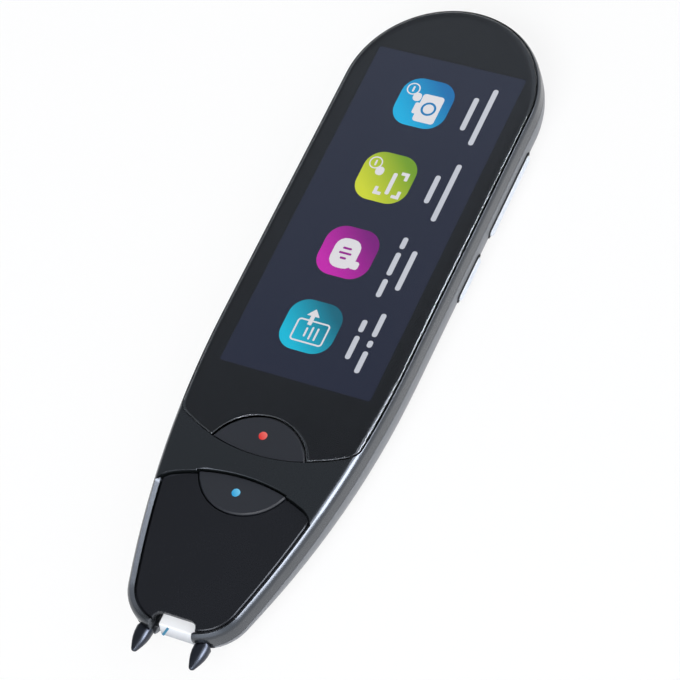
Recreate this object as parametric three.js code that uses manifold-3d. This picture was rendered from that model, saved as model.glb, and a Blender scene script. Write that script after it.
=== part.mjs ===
// A hand-held pen scanner: a flat pen body with a round end, a tapered nose with a contact fork,
// a long touch display under cover glass, two dished front keys and two side keys.
// Millimetres. +Z is the display side, -Y the nose, +X the side that carries the side keys.
// The origin lies under the middle of the whole pen, on the flat back.
import * as THREE from "three";
import { mergeVertices } from "three/addons/utils/BufferGeometryUtils.js";
import Module from "manifold-3d";

const wasm = await Module();
wasm.setup();

// Shared fits
const clearance = 0.3;
const pressFit = 0.05;
const overrun = 3;

// Body outline
const bodyThickness = 12.4;
const taperLength = 69.2;
const noseSideWall = 2.15;
const noseCornerRadius = 9.8;
const smallestCorner = 0.4;

// Shells
const seamHeight = 7.7;
const seamGroove = 0.2;
const wall = 1.6;
const floorThickness = 1.3;
const backRoundWidth = 4;
const noseRiseLength = 60;
const noseRiseShare = 0.65;
const lipWall = 0.8;
const tongueHeight = 0.7;
const crownWidth = 1.8;
const frameBelowGlass = 0.1;
const deckThickness = 2.3;

// Cover glass and display stack
const glassThickness = 1.0;
const glassInset = 0.75;
const glassEdgeWidth = 1.6;
const glassEdgeDrop = 0.75;
const glassCornerRadius = 3.6;
const glassChamfer = 0.2;
const gasketThickness = 0.2;
const gasketBorder = 0.5;
const activeWidth = 34.4;
const activeLength = 80.9;
const activeEndGap = 13.75;
const activeSideGap = 4.7;
const activeFromKeys = 20.75;
const panelSideBorder = 1.0;
const panelTopBorder = 1.2;
const panelTailBorder = 3;
const panelCornerRadius = 3;
const panelThickness = 1.4;
const bracketRim = 1.2;
const bracketSheet = 0.3;

// Key circle, with the bridge that crosses it
const keyCentreFromNose = 38.0;
const keyCircleRadius = 11.2;
const lowerKeyRadius = 10.6;
const bridgeWidth = 4.9;
const bridgeRadius = 38;
const keyFlangeWidth = 0.8;
const keyFlangeThickness = 0.6;
const keyTravel = 0.4;
const keyStemRadius = 1.3;
const keyRestGap = 0.1;
const keyChamfer = 0.35;
const upperKeyDrop = 0.15;
const upperDishDepth = 0.35;
const lowerKeyDrop = 0.75;
const lowerDishDepth = 0.25;
const dotRadius = 0.88;
const dotDepth = 1.3;
const dotProud = 0.1;
const dotFromMiddle = 0.45;
const upperDotFromCentre = 7.1;
const lowerDotFromCentre = 6.05;

// Nose cover and scan notch
const coverDrop = 1.1;
const coverThickness = 1.1;
const coverInset = 1.8;
const coverCrestInset = 0.7;
const coverCrestDrop = 0.36;
const coverEdge = 0.3;
const coverLedge = 1.8;
const coverCornerSpread = 0.5;
const coverCornerRadius = 5.5;
const notchWidth = 9.6;
const notchLength = 3.7;
const notchCornerRadius = 1.8;

// Contact fork
const prongReach = 4.9;
const prongSpacing = 12.9;
const prongWidth = 3.4;
const prongHeight = 3.0;
const prongCentreHeight = 8.0;
const prongTipLift = 0.5;
const prongRoot = 0.4;
const prongRoundShare = 0.8;
// Length from the root and width of a prong, as shares of the whole
const prongShares = [
  [0, 1], [0.28, 0.96], [0.48, 0.85], [0.66, 0.68], [0.81, 0.5], [0.92, 0.37], [0.975, 0.26], [1, 0.12],
];
const armShare = 0.6;
const armNeckLength = 0.8;
const channelLength = 10.9;
const forkTravel = 0.5;
const forkBarLength = 1.4;
const forkBarThickness = 0.8;
const forkBarTop = 9.8;
const forkBarFromNose = 7.2;
const forkTailFromNose = 20.1;

// Scan window and camera
const windowWidth = 7.8;
const windowHeight = 3.2;
const windowTop = 9.2;
const windowFrontFromNose = 1.75;
const windowSlope = 0.8;
const windowLength = 4.65;
const windowPostWidth = 5;
const windowPostLength = 2.4;
const cameraWidth = 8;
const cameraHeight = 3.6;
const cameraLength = 5;
const cameraFromNose = 13.1;
const barrelRadius = 1.65;
const barrelLength = 3.3;
const lensRadius = 1.2;
const lensThickness = 0.4;
const lightSize = 1.2;
const lightThickness = 0.7;

// Boards, switches and fasteners
const boardThickness = 0.8;
const boardTop = 5.8;
const boardEdgeInset = 3.4;
const boardFromNose = 13.6;
const switchWidth = 3.4;
const switchHeight = 1.2;
const switchPlungerRadius = 0.9;
const switchPlungerLength = 0.5;
const shieldWidth = 17;
const shieldLength = 11;
const shieldHeight = 1.6;
const shieldFromKeys = 4;
const contactSwitchWidthShare = 0.9;
const contactSwitchLength = 2;
const contactSwitchHeight = 1.8;
const contactPlungerRadius = 0.5;
const contactPlungerLength = 0.5;
const carrierThickness = 0.8;
const carrierGap = 0.4;
const screwHeadRadius = 1.3;
const screwHeadHeight = 0.5;
const screwRadius = 0.7;
const screwFit = 0.15;
const screwLength = 3;
const screwTipRoom = 0.3;
const carrierScrewDepth = 1.3;
const carrierScrewFromSide = 8.9;
const boardScrewFromSide = 7.4;
const ribbonSlotWidth = 12;
const ribbonSlotLength = 4;
const bossRadius = 2.0;

// Battery and speaker
const batterySideGap = 0.5;
const batteryThickness = 4.4;
const batteryCornerRadius = 2;
const batteryFromBoard = 3;
const ribThickness = 1;
const ribHeight = 2.2;
const speakerSideStep = 1.3;
const speakerLength = 11;
const speakerThickness = 3.4;
const speakerCornerRadius = 2.5;
const speakerFromBattery = 3.4;
const speakerFromPortBoard = 3.6;
const meshThickness = 0.2;
const grilleSlotWidth = 1.1;
const grilleSlotLength = 7;
const grillePitch = 2.6;
const grilleSlots = 6;

// Charging port, its board and the microphone
const portWidth = 8.94;
const portHeight = 3.2;
const portLength = 9;
const portCentreHeight = 5.0;
const portShell = 0.35;
const portRecess = 1.2;
const portTongueWidth = 6.6;
const portTongueThickness = 0.7;
const portTongueLength = 5.5;
const portTongueSetback = 0.8;
const portBoardWidth = 21;
const portBoardLength = 12;
const portBoardFromEnd = 6.6;
const portBoardInset = 5;
const portScrewX = 7.5;
const portScrewLength = 1.6;
const microphoneLength = 3.5;
const microphoneWidth = 2.7;
const microphoneHeight = 0.95;
const microphoneHoleRadius = 0.5;

// Side keys
const sideKeyHeight = 3.9;
const sideKeyWidth = 2.0;
const sideKeyProud = 0.6;
const sideKeyEdge = 0.35;
const rockerLength = 20.4;
const powerKeyLength = 10.5;
const rockerFromCap = 15.1;
const powerKeyFromCap = 36.3;
const sideFlangeWidth = 0.7;
const sideFlangeThickness = 0.8;
const sideFlangeGap = 0.5;
const sideKeyGap = 0.4;
const sideKeyTravel = 0.4;
const keyBoardHeight = 4.6;
const keyBoardThickness = 0.6;
const keyBoardMargin = 2;
const keyBoardPostLength = 1.6;
const keyBoardPostWidth = 1.2;
const sideSwitchWidth = 2.8;
const sideSwitchHeight = 0.9;
const sideSwitchPlungerLength = 0.3;
const rockerSwitchSpacing = 13;
const rockerFulcrumWidth = 1.4;

// Counts of facets
const capSteps = 24;
const taperSteps = 14;
const cornerSteps = 10;
const roundSteps = 5;
const crownSteps = 5;
const discSides = 64;
const bridgeSides = 120;
const pinSides = 16;

// Levels and stations that follow from the sizes above
const bodyWidth = activeWidth + 2 * activeSideGap;
const bodyLength = keyCentreFromNose + activeFromKeys + activeLength + activeEndGap;
const halfWidth = bodyWidth / 2;
const prongX = prongSpacing / 2;
const taperDepth = halfWidth - prongX - prongWidth / 2 - clearance - noseSideWall;
const taperRadius = (taperLength ** 2 + taperDepth ** 2) / (2 * taperDepth);
const noseY = (prongReach - bodyLength) / 2;
const endY = noseY + bodyLength;
const capY = endY - halfWidth;
const taperY = noseY + taperLength;
const riseY = noseY + noseRiseLength;
const glassTop = bodyThickness;
const glassBottom = glassTop - glassThickness;
const ledgeHeight = glassBottom - gasketThickness;
const deckBottom = ledgeHeight - deckThickness;
const frameTop = bodyThickness - frameBelowGlass;
const crownBottom = frameTop - crownWidth;
const coverTop = bodyThickness - coverDrop;
const coverBottom = coverTop - coverThickness;
const panelBottom = ledgeHeight - panelThickness;
const bridgeY = noseY + keyCentreFromNose;
const bridgeUpperY = bridgeY + bridgeWidth / 2;
const activeTopY = endY - activeEndGap;
const activeLowY = activeTopY - activeLength;
const panelTopY = activeTopY + panelTopBorder;
const panelLowY = activeLowY - panelTailBorder;
const panelHalfWidth = activeWidth / 2 + panelSideBorder;
const notchY = noseY + notchLength;
const boardBottom = boardTop - boardThickness;
const boardLowY = noseY + boardFromNose;
const shieldLowY = bridgeY + keyCircleRadius + keyFlangeWidth + shieldFromKeys;
const boardTopY = shieldLowY + shieldLength + wall;
const boardLength = boardTopY - boardLowY;
const rockerY = capY - rockerFromCap;
const powerKeyY = capY - powerKeyFromCap;
const upperDotY = bridgeY + upperDotFromCentre;
const lowerDotY = bridgeY - lowerDotFromCentre;
const windowLow = windowTop - windowHeight;
const windowBackY = noseY + windowFrontFromNose + windowLength;
const cameraY = noseY + cameraFromNose;
const cameraAxis = boardTop + cameraHeight / 2;
const carrierLowY = bridgeY + keyCircleRadius + keyFlangeWidth + carrierGap;
const contactSwitchY = noseY + forkTailFromNose + forkTravel + keyRestGap + contactPlungerLength;
const portBoardLow = portCentreHeight - portHeight / 2 - boardThickness;
const portBoardY = endY - portBoardFromEnd - portBoardLength / 2;
const speakerLowY = portBoardY - portBoardLength / 2 - speakerFromPortBoard - speakerLength;
const speakerY = speakerLowY + speakerLength / 2;
const batteryLowY = boardTopY + batteryFromBoard;
const batteryTopY = speakerLowY - speakerFromBattery;
const microphoneY = portBoardY - portBoardLength / 2 + microphoneLength;
const portPostSpots = [-1, 1].map((side) => [side * portScrewX, microphoneY - microphoneLength / 4]);
const carrierScrewX = halfWidth - carrierScrewFromSide;
const boardScrewX = halfWidth - boardScrewFromSide;
const carrierScrewLowY = panelLowY - bossRadius - screwHeadRadius;
const carrierScrewTopY = (panelTopY + endY - wall) / 2;
const carrierScrewSpots = [
  [-carrierScrewX, carrierScrewLowY],
  [carrierScrewX, carrierScrewLowY],
  [-panelHalfWidth / 2, carrierScrewTopY],
  [panelHalfWidth / 2, carrierScrewTopY],
];
const boardScrewSpots = [
  [-boardScrewX, bridgeY + keyCircleRadius / 2],
  [boardScrewX, bridgeY + keyCircleRadius / 2],
  [0, bridgeY - keyCircleRadius - keyFlangeWidth - clearance - bossRadius],
];

// Side keys from the wall inwards: flange, gap for the travel, switch, key board
const sideFlangeHeight = sideKeyWidth + 2 * sideFlangeWidth;
const sideFlangeSine = (seamHeight - sideKeyHeight + sideFlangeHeight / 2) / (seamHeight - floorThickness);
const sideFlangeRound = backRoundWidth * (1 - Math.sqrt(1 - sideFlangeSine ** 2));
const sideFlangeX = halfWidth - wall - sideFlangeRound - sideFlangeGap - sideFlangeThickness;
const keyBoardFaceX = sideFlangeX - sideKeyTravel - keyRestGap - sideSwitchPlungerLength - sideSwitchHeight;
const keyBoardX = keyBoardFaceX - keyBoardThickness / 2;
const rockerPivotX = keyBoardFaceX + clearance;
const batteryWidth = 2 * (keyBoardFaceX - keyBoardThickness - batterySideGap);
const speakerWidth = batteryWidth - 2 * speakerSideStep;
const keyBoardLowY = powerKeyY - powerKeyLength / 2 - keyBoardMargin;
const keyBoardTopY = rockerY + rockerLength / 2 + keyBoardMargin;
const keyBoardEnds = [
  keyBoardLowY - clearance - keyBoardPostLength / 2,
  keyBoardTopY + clearance + keyBoardPostLength / 2,
];

const pen = new THREE.Group();
pen.name = "pen_scanner";

function finish(color, roughness, metalness) {
  return new THREE.MeshStandardMaterial({ color, roughness, metalness });
}

const gunmetal = finish(0x3a3b42, 0.35, 0.6);
const satinBlack = finish(0x24252a, 0.5, 0.1);
const matteBlack = finish(0x1d1e21, 0.7, 0);
const keyBlack = finish(0x2c2d31, 0.6, 0);
const greyShell = finish(0x8a8b93, 0.45, 0.4);
const paleMetal = finish(0xc9ced8, 0.3, 0.8);
const glossBlack = finish(0x08080a, 0.05, 0);
const displayBlue = finish(0x323547, 0.3, 0);
const windowWhite = finish(0xf1f1f3, 0.5, 0);
const redDot = finish(0xe23a36, 0.3, 0);
const blueDot = finish(0x3aa5e0, 0.3, 0);
const boardGreen = finish(0x1f5a3c, 0.6, 0);
const steel = finish(0xb9bcc0, 0.35, 0.9);
const batteryGrey = finish(0x9aa0a6, 0.5, 0.3);
const plasticBlack = finish(0x17181a, 0.6, 0);
const clearLens = finish(0x20304a, 0.05, 0);

// A closed three.js geometry as a solid that can be cut and joined
function solidOf(geometry) {
  const bare = geometry.index ? geometry.toNonIndexed() : geometry.clone();
  bare.deleteAttribute("normal");
  bare.deleteAttribute("uv");
  const merged = mergeVertices(bare);
  const vertProperties = new Float32Array(merged.attributes.position.array);
  const triVerts = new Uint32Array(merged.index.array);
  return new wasm.Manifold(new wasm.Mesh({ numProp: 3, vertProperties, triVerts }));
}

function geometryOf(solid) {
  const raw = solid.getMesh();
  const geometry = new THREE.BufferGeometry();
  geometry.setAttribute("position", new THREE.BufferAttribute(new Float32Array(raw.vertProperties), 3));
  geometry.setIndex(new THREE.BufferAttribute(new Uint32Array(raw.triVerts), 1));
  geometry.computeVertexNormals();
  return geometry;
}

function addPiece(name, solid, material, place = [0, 0, 0]) {
  const mesh = new THREE.Mesh(geometryOf(solid), material);
  mesh.name = name;
  mesh.position.set(...place);
  pen.add(mesh);
  return mesh;
}

function arc(x, y, radius, from, to, steps) {
  const points = [];
  for (let step = 0; step <= steps; step += 1) {
    const angle = from + ((to - from) * step) / steps;
    points.push(new THREE.Vector2(x + radius * Math.cos(angle), y + radius * Math.sin(angle)));
  }
  return points;
}

// Right half of the body outline, from the nose round to the top of the cap, drawn in by an inset
function halfOutline(inset) {
  const corner = Math.max(noseCornerRadius - inset, smallestCorner);
  const side = taperRadius - inset;
  const sideX = halfWidth - taperRadius;
  const cornerY = noseY + inset + corner;
  const turn = Math.asin((taperY - cornerY) / (side - corner));
  const cornerX = sideX + (side - corner) * Math.cos(turn);
  return [
    new THREE.Vector2(0, noseY + inset),
    ...arc(cornerX, cornerY, corner, -Math.PI / 2, -turn, cornerSteps),
    ...arc(sideX, taperY, side, -turn, 0, taperSteps).slice(1),
    ...arc(0, capY, halfWidth - inset, 0, Math.PI / 2, capSteps),
  ];
}

// Below the seam every level is drawn up towards the seam as the nose thins
function riseAt(height, y) {
  if (height >= seamHeight) return height;
  const along = THREE.MathUtils.clamp((riseY - y) / noseRiseLength, 0, 1);
  return seamHeight - (seamHeight - height) * (1 - noseRiseShare * along * along);
}

// Joins equal rings of points, lowest first, and closes both ends with the given triangles
function ringGeometry(rings, capTriangles) {
  const count = rings[0].length;
  const positions = rings.flat().flatMap((point) => [point.x, point.y, point.z]);
  const faces = [];
  for (let level = 0; level + 1 < rings.length; level += 1) {
    const low = level * count;
    const high = low + count;
    for (let i = 0; i < count; i += 1) {
      const next = (i + 1) % count;
      faces.push(low + i, low + next, high + next);
      faces.push(low + i, high + next, high + i);
    }
  }
  const top = (rings.length - 1) * count;
  capTriangles.forEach(([a, b, c]) => {
    faces.push(a, c, b);
    faces.push(top + a, top + b, top + c);
  });
  const geometry = new THREE.BufferGeometry();
  geometry.setAttribute("position", new THREE.Float32BufferAttribute(positions, 3));
  geometry.setIndex(faces);
  return geometry;
}

// Rungs between the mirrored sides of an outline, so that a closed end follows the rise of the nose
function rungTriangles(halfCount) {
  const count = 2 * halfCount - 2;
  const triangles = [[0, 1, count - 1]];
  for (let i = 1; i + 2 < halfCount; i += 1) {
    triangles.push([i, i + 1, count - i - 1], [i, count - i - 1, count - i]);
  }
  triangles.push([halfCount - 2, halfCount - 1, halfCount]);
  return triangles;
}

// A body-shaped solid through levels of inset and height, lowest first
function bodySolid(levels) {
  const rings = levels.map(([inset, height]) => {
    const right = halfOutline(inset);
    const left = right.slice(1, -1).reverse().map((point) => new THREE.Vector2(-point.x, point.y));
    return [...right, ...left].map(
      (point) => new THREE.Vector3(point.x, point.y, riseAt(height, point.y)),
    );
  });
  return solidOf(ringGeometry(rings, rungTriangles(halfOutline(0).length)));
}

// A closed form through levels of a flat outline, given as pairs of points and height
function outlineGeometry(levels) {
  const rings = levels.map(([points, height]) =>
    points.map((point) => new THREE.Vector3(point.x, point.y, height)),
  );
  return ringGeometry(rings, THREE.ShapeUtils.triangulateShape(levels[0][0], []));
}

function outlineSolid(levels) {
  return solidOf(outlineGeometry(levels));
}

const alongX = new THREE.Matrix4().makeBasis(
  new THREE.Vector3(0, 1, 0),
  new THREE.Vector3(0, 0, 1),
  new THREE.Vector3(1, 0, 0),
);
const alongY = new THREE.Matrix4().makeBasis(
  new THREE.Vector3(0, 0, 1),
  new THREE.Vector3(1, 0, 0),
  new THREE.Vector3(0, 1, 0),
);

// The same with levels that follow each other along X (outlines in Y and Z) or along Y (in Z and X)
function crosswise(axes, levels) {
  return solidOf(outlineGeometry(levels).applyMatrix4(axes));
}

function plate(points, low, high) {
  return outlineSolid([[points, low], [points, high]]);
}

function block(width, length, height, x, y, low) {
  const geometry = new THREE.BoxGeometry(width, length, height);
  geometry.translate(x, y, low + height / 2);
  return solidOf(geometry);
}

function disc(radius, low, high, x, y, sides = pinSides) {
  const geometry = new THREE.CylinderGeometry(radius, radius, high - low, sides);
  geometry.rotateX(Math.PI / 2);
  geometry.translate(x, y, (low + high) / 2);
  return solidOf(geometry);
}

// A turned solid about a vertical axis, from pairs of radius and height that start and end on it
function turned(profile, x, y, sides = pinSides) {
  const points = profile.map(([radius, height]) => new THREE.Vector2(radius, height));
  const geometry = new THREE.LatheGeometry(points, sides);
  geometry.rotateX(Math.PI / 2);
  geometry.translate(x, y, 0);
  return solidOf(geometry);
}

function roundedRectangle(halfAcross, lowY, highY, radius, steps = roundSteps) {
  const right = halfAcross - radius;
  return [
    ...arc(right, lowY + radius, radius, -Math.PI / 2, 0, steps),
    ...arc(right, highY - radius, radius, 0, Math.PI / 2, steps),
    ...arc(-right, highY - radius, radius, Math.PI / 2, Math.PI, steps),
    ...arc(-right, lowY + radius, radius, Math.PI, 1.5 * Math.PI, steps),
  ];
}

// A quarter ellipse from an upright edge to a flat top, as levels of inset and height
function crownLevels(inset, width, low, high, steps) {
  const levels = [];
  for (let step = 0; step <= steps; step += 1) {
    const angle = (Math.PI / 2) * (step / steps);
    levels.push([inset + width * (1 - Math.cos(angle)), low + (high - low) * Math.sin(angle)]);
  }
  return levels;
}

// The rounded back, from its flat up to the seam, as levels of inset and height
function backLevels(inset, low, steps) {
  const levels = [];
  for (let step = 0; step <= steps; step += 1) {
    const angle = (Math.PI / 2) * (1 - step / steps);
    const height = seamHeight - (seamHeight - low) * Math.sin(angle);
    levels.push([inset + backRoundWidth * (1 - Math.cos(angle)), height]);
  }
  return levels;
}

// Outline of a plate that meets the bridge: a shallow arc, two round corners and straight sides.
// towards is 1 for the glass above the bridge and -1 for the nose cover below it.
function bridgeEdge(towards, shoulder, cornerRadius, sideLean, grow) {
  const apexY = bridgeY + towards * (bridgeWidth / 2 + clearance - grow);
  const radius = bridgeRadius + grow;
  const corner = cornerRadius + grow;
  const cornerX = shoulder + grow - corner;
  const cornerDepth = radius - Math.sqrt((radius - corner) ** 2 - cornerX ** 2);
  const from = Math.asin(cornerX / (radius - corner));
  const to = Math.PI / 2 - sideLean;
  const reach = Math.abs((towards > 0 ? endY : noseY) - apexY) + overrun;
  const right = [];
  for (let step = 0; step < roundSteps; step += 1) {
    const angle = (from * step) / roundSteps;
    right.push([radius * Math.sin(angle), radius * (1 - Math.cos(angle))]);
  }
  for (let step = 0; step <= roundSteps; step += 1) {
    const angle = from + ((to - from) * step) / roundSteps;
    right.push([cornerX + corner * Math.sin(angle), cornerDepth - corner * Math.cos(angle)]);
  }
  const [lastX, lastDepth] = right[right.length - 1];
  right.push([lastX + (reach - lastDepth) * Math.tan(sideLean), reach]);
  const left = right.slice(1).reverse().map(([x, depth]) => [-x, depth]);
  const outline = [...right, ...left].map(([x, depth]) => new THREE.Vector2(x, apexY + towards * depth));
  return towards > 0 ? outline : outline.reverse();
}

// Half width of the tapering body at a station
function sideAt(y) {
  return halfWidth - taperRadius + Math.sqrt(taperRadius ** 2 - (taperY - y) ** 2);
}

const glassCornerY = bridgeUpperY + glassCornerRadius;
const glassSideLean = Math.asin((taperY - glassCornerY) / taperRadius);
const glassShoulder = sideAt(glassCornerY + glassCornerRadius) - glassInset;
const coverShoulder = sideAt(bridgeY - bridgeWidth / 2) - coverInset + coverCornerSpread;
const glassEdge = (grow) => bridgeEdge(1, glassShoulder, glassCornerRadius, glassSideLean, grow);
const coverEdgeLine = (grow) => bridgeEdge(-1, coverShoulder, coverCornerRadius, 0, grow);

// The circle of a key is a little smaller on the nose side of the bridge
function circleOf(towards) {
  return towards > 0 ? keyCircleRadius : lowerKeyRadius;
}

// The lens between the key circle and the bridge, on one side of the bridge
function keyLens(towards, grow, low, high) {
  const edgeY = bridgeY + towards * (bridgeWidth / 2 + clearance + bridgeRadius);
  const circle = disc(circleOf(towards) + grow, low, high, 0, bridgeY, discSides);
  return circle.intersect(disc(bridgeRadius + grow, low, high, 0, edgeY, bridgeSides));
}

function dishHeight(rimHeight, depth, fromCentre) {
  return rimHeight - depth * (1 - (fromCentre / keyCircleRadius) ** 2);
}

// A shallow bowl about the middle of the bridge, as the solid that lies above it
function dishAbove(rimHeight, depth) {
  const reach = keyCircleRadius + keyFlangeWidth;
  const profile = [];
  for (let step = 0; step <= roundSteps; step += 1) {
    const radius = (reach * step) / roundSteps;
    profile.push([radius, dishHeight(rimHeight, depth, radius)]);
  }
  profile.push([reach, glassTop + overrun], [0, glassTop + overrun]);
  return turned(profile, 0, bridgeY, discSides);
}

function notchCut(grow) {
  const outline = roundedRectangle(notchWidth / 2 + grow, noseY - overrun, notchY + grow,
    notchCornerRadius);
  return plate(outline, -overrun, glassTop + overrun);
}

// Room round one prong or arm of the fork, open to the front
function prongChannel(x, share, topY) {
  const half = prongHeight / 2 + clearance;
  const across = (prongWidth * share) / 2 + clearance;
  const radius = ((prongHeight * share) / 2) * prongRoundShare + clearance;
  const outline = roundedRectangle(half, x - across, x + across, radius, 4)
    .map((point) => new THREE.Vector2(point.x + prongCentreHeight, point.y));
  return crosswise(alongY, [[outline, noseY - overrun], [outline, topY]]);
}

function prongChannels() {
  const mouthY = noseY + prongRoot + armNeckLength + forkTravel + clearance;
  const channels = [-prongX, prongX].map((x) =>
    prongChannel(x, 1, mouthY).add(prongChannel(x, armShare, noseY + channelLength)));
  return channels[0].add(channels[1]);
}

function screwHole(x, y, low, high) {
  return disc(screwRadius + screwFit, low, high, x, y);
}

// Front frame: side wall with a rounded crown, pockets for glass and nose cover, and the bridge
function makeFrontFrame() {
  const outer = bodySolid([
    [seamGroove, seamHeight],
    [0, seamHeight + seamGroove],
    ...crownLevels(0, crownWidth, crownBottom, frameTop, crownSteps),
  ]);
  const cavity = bodySolid([[wall, seamHeight - overrun], [wall, deckBottom]]);
  const groove = bodySolid([
    [lipWall, seamHeight - overrun],
    [lipWall, seamHeight + tongueHeight + clearance],
  ]);
  const glassPocket = plate(glassEdge(clearance), ledgeHeight, glassTop + overrun).intersect(bodySolid([
    [glassInset - clearance, ledgeHeight],
    [glassInset - clearance, glassTop + overrun],
  ]));
  const panelOutline = roundedRectangle(panelHalfWidth + clearance, panelLowY - clearance,
    panelTopY + clearance, panelCornerRadius + clearance);
  const panelOpening = plate(panelOutline, deckBottom - overrun, ledgeHeight + overrun);
  const mouth = block(notchWidth, notchLength + 2 * overrun, overrun + coverBottom - deckBottom,
    0, noseY + notchLength / 2, deckBottom - overrun);
  let frame = outer.subtract(cavity).subtract(groove).subtract(glassPocket).subtract(panelOpening);
  frame = frame.subtract(coverPocket()).subtract(noseOpening()).subtract(mouth);
  [1, -1].forEach((towards) => {
    frame = frame.subtract(keyLens(towards, clearance, deckBottom - overrun, glassTop + overrun));
  });
  frame = frame.subtract(notchCut(0)).subtract(prongChannels());
  boardScrewSpots.forEach(([x, y]) => {
    frame = frame.add(disc(bossRadius, boardTop, deckBottom + bracketSheet, x, y));
    frame = frame.subtract(screwHole(x, y, boardBottom, boardBottom + screwLength + screwTipRoom));
  });
  carrierScrewSpots.forEach(([x, y]) => {
    frame = frame.subtract(screwHole(x, y, deckBottom - overrun, deckBottom + carrierScrewDepth));
  });
  return frame;
}

// Pocket of the nose cover, with the bevel that falls from the crest of the rim to the cover
function coverPocket() {
  const seat = coverInset - clearance;
  const bevelRun = seat - coverCrestInset;
  const bevelRise = coverDrop - coverCrestDrop;
  const beyond = overrun / 2;
  const form = bodySolid([
    [seat, coverBottom],
    [seat, coverTop],
    [coverCrestInset, coverTop + bevelRise],
    [coverCrestInset - (bevelRun * beyond) / bevelRise, coverTop + bevelRise + beyond],
  ]);
  return plate(coverEdgeLine(0), coverBottom, glassTop + overrun).intersect(form);
}

// Opening under the nose cover, over the camera and the fork
function noseOpening() {
  const form = bodySolid([
    [coverInset + coverLedge, deckBottom - overrun],
    [coverInset + coverLedge, coverBottom + overrun],
  ]);
  const highY = boardScrewSpots[2][1] - bossRadius - clearance;
  const length = highY - notchY;
  return form.intersect(block(bodyWidth, length, bodyThickness, 0, highY - length / 2, 0));
}

// Cover glass with soft edges, bitten by the key circle at its lower edge
function makeCoverGlass() {
  const edgeLevel = glassTop - glassEdgeDrop;
  const body = bodySolid([
    [glassInset, glassBottom],
    ...crownLevels(glassInset, glassEdgeWidth, edgeLevel, glassTop, crownSteps),
  ]);
  const edge = outlineSolid([
    [glassEdge(0), glassBottom - overrun],
    [glassEdge(0), glassTop - glassChamfer],
    [glassEdge(-glassChamfer), glassTop],
  ]);
  const biteRadius = keyCircleRadius + clearance;
  const bite = turned([
    [0, glassBottom - overrun],
    [biteRadius, glassBottom - overrun],
    [biteRadius, glassTop - glassChamfer],
    [biteRadius + glassChamfer + overrun, glassTop + overrun],
    [0, glassTop + overrun],
  ], 0, bridgeY, discSides);
  return body.intersect(edge).subtract(bite);
}

// Black border film that bonds the glass to the frame and leaves the picture clear
function makeGlassGasket() {
  const inset = glassInset + gasketBorder;
  const sheet = bodySolid([[inset, ledgeHeight], [inset, glassBottom]]);
  const high = glassTop + overrun;
  const picture = roundedRectangle(activeWidth / 2, activeLowY, activeTopY, gasketBorder, 2);
  const bite = disc(keyCircleRadius + gasketBorder + clearance, 0, high, 0, bridgeY, discSides);
  return sheet.intersect(plate(glassEdge(-gasketBorder), 0, high)).subtract(bite)
    .subtract(plate(picture, 0, high));
}

function makeDisplayPanel() {
  const outline = roundedRectangle(panelHalfWidth, panelLowY, panelTopY, panelCornerRadius);
  return plate(outline, panelBottom, ledgeHeight);
}

// Pressed tray behind the panel, with an upturned rim
function makeDisplayBracket() {
  const outline = roundedRectangle(panelHalfWidth, panelLowY, panelTopY, panelCornerRadius);
  const hollow = roundedRectangle(panelHalfWidth - bracketRim, panelLowY + bracketRim,
    panelTopY - bracketRim, panelCornerRadius - bracketRim);
  const tray = plate(outline, deckBottom, panelBottom);
  return tray.subtract(plate(hollow, deckBottom + bracketSheet, panelBottom + overrun));
}

// Nose cover: fits the frame's pocket, bitten by the key circle above and the scan notch below
function makeNoseCover() {
  const body = bodySolid([
    [coverInset, coverBottom],
    [coverInset, coverTop - coverEdge],
    [coverInset + coverEdge, coverTop],
  ]);
  const high = coverTop + overrun;
  const bite = disc(lowerKeyRadius + clearance, 0, high, 0, bridgeY, discSides);
  return body.intersect(plate(coverEdgeLine(-clearance), 0, high)).subtract(bite).subtract(notchCut(0));
}

// A front key: lens-shaped cap with a dished top, a flange that holds it in, and a stem
function makeFrontKey(towards, drop, dishDepth, dotY) {
  const rim = glassTop - drop;
  const flangeLow = deckBottom - keyFlangeThickness;
  const cap = keyLens(towards, 0, flangeLow, glassTop + overrun);
  const radius = circleOf(towards);
  const roundCap = turned([
    [0, flangeLow - overrun],
    [radius + clearance, flangeLow - overrun],
    [radius + clearance, rim - keyChamfer - clearance],
    [radius - keyChamfer, rim + pressFit],
    [0, rim + pressFit],
  ], 0, bridgeY, discSides);
  const flange = keyLens(towards, keyFlangeWidth, flangeLow, deckBottom);
  const stemLow = boardTop + switchHeight + switchPlungerLength + keyTravel + keyRestGap;
  const stem = disc(keyStemRadius, stemLow, deckBottom, 0, dotY);
  const dotTop = dishHeight(rim, dishDepth, Math.abs(dotY - bridgeY));
  const dotHole = disc(dotRadius + pressFit, dotTop - dotDepth, glassTop + overrun, -dotFromMiddle, dotY);
  const solid = cap.intersect(roundCap).add(flange).add(stem);
  return solid.subtract(dishAbove(rim, dishDepth)).subtract(dotHole);
}

// Coloured light pipe set in a front key, with a domed end
function makeKeyDot(drop, dishDepth, dotY) {
  const top = dishHeight(glassTop - drop, dishDepth, Math.abs(dotY - bridgeY));
  const profile = [[0, top - dotDepth], [dotRadius, top - dotDepth]];
  for (let step = 0; step <= roundSteps; step += 1) {
    const angle = (Math.PI / 2) * (step / roundSteps);
    profile.push([dotRadius * Math.cos(angle), top + dotProud * Math.sin(angle)]);
  }
  profile[profile.length - 1][0] = 0;
  return turned(profile, -dotFromMiddle, dotY);
}

// Horizontal distance of the rounded back from the middle, outside or inside the wall
function backHalfWidth(height, low, inset) {
  const sine = (seamHeight - height) / (seamHeight - low);
  return halfWidth - inset - backRoundWidth * (1 - Math.sqrt(1 - sine * sine));
}

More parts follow.
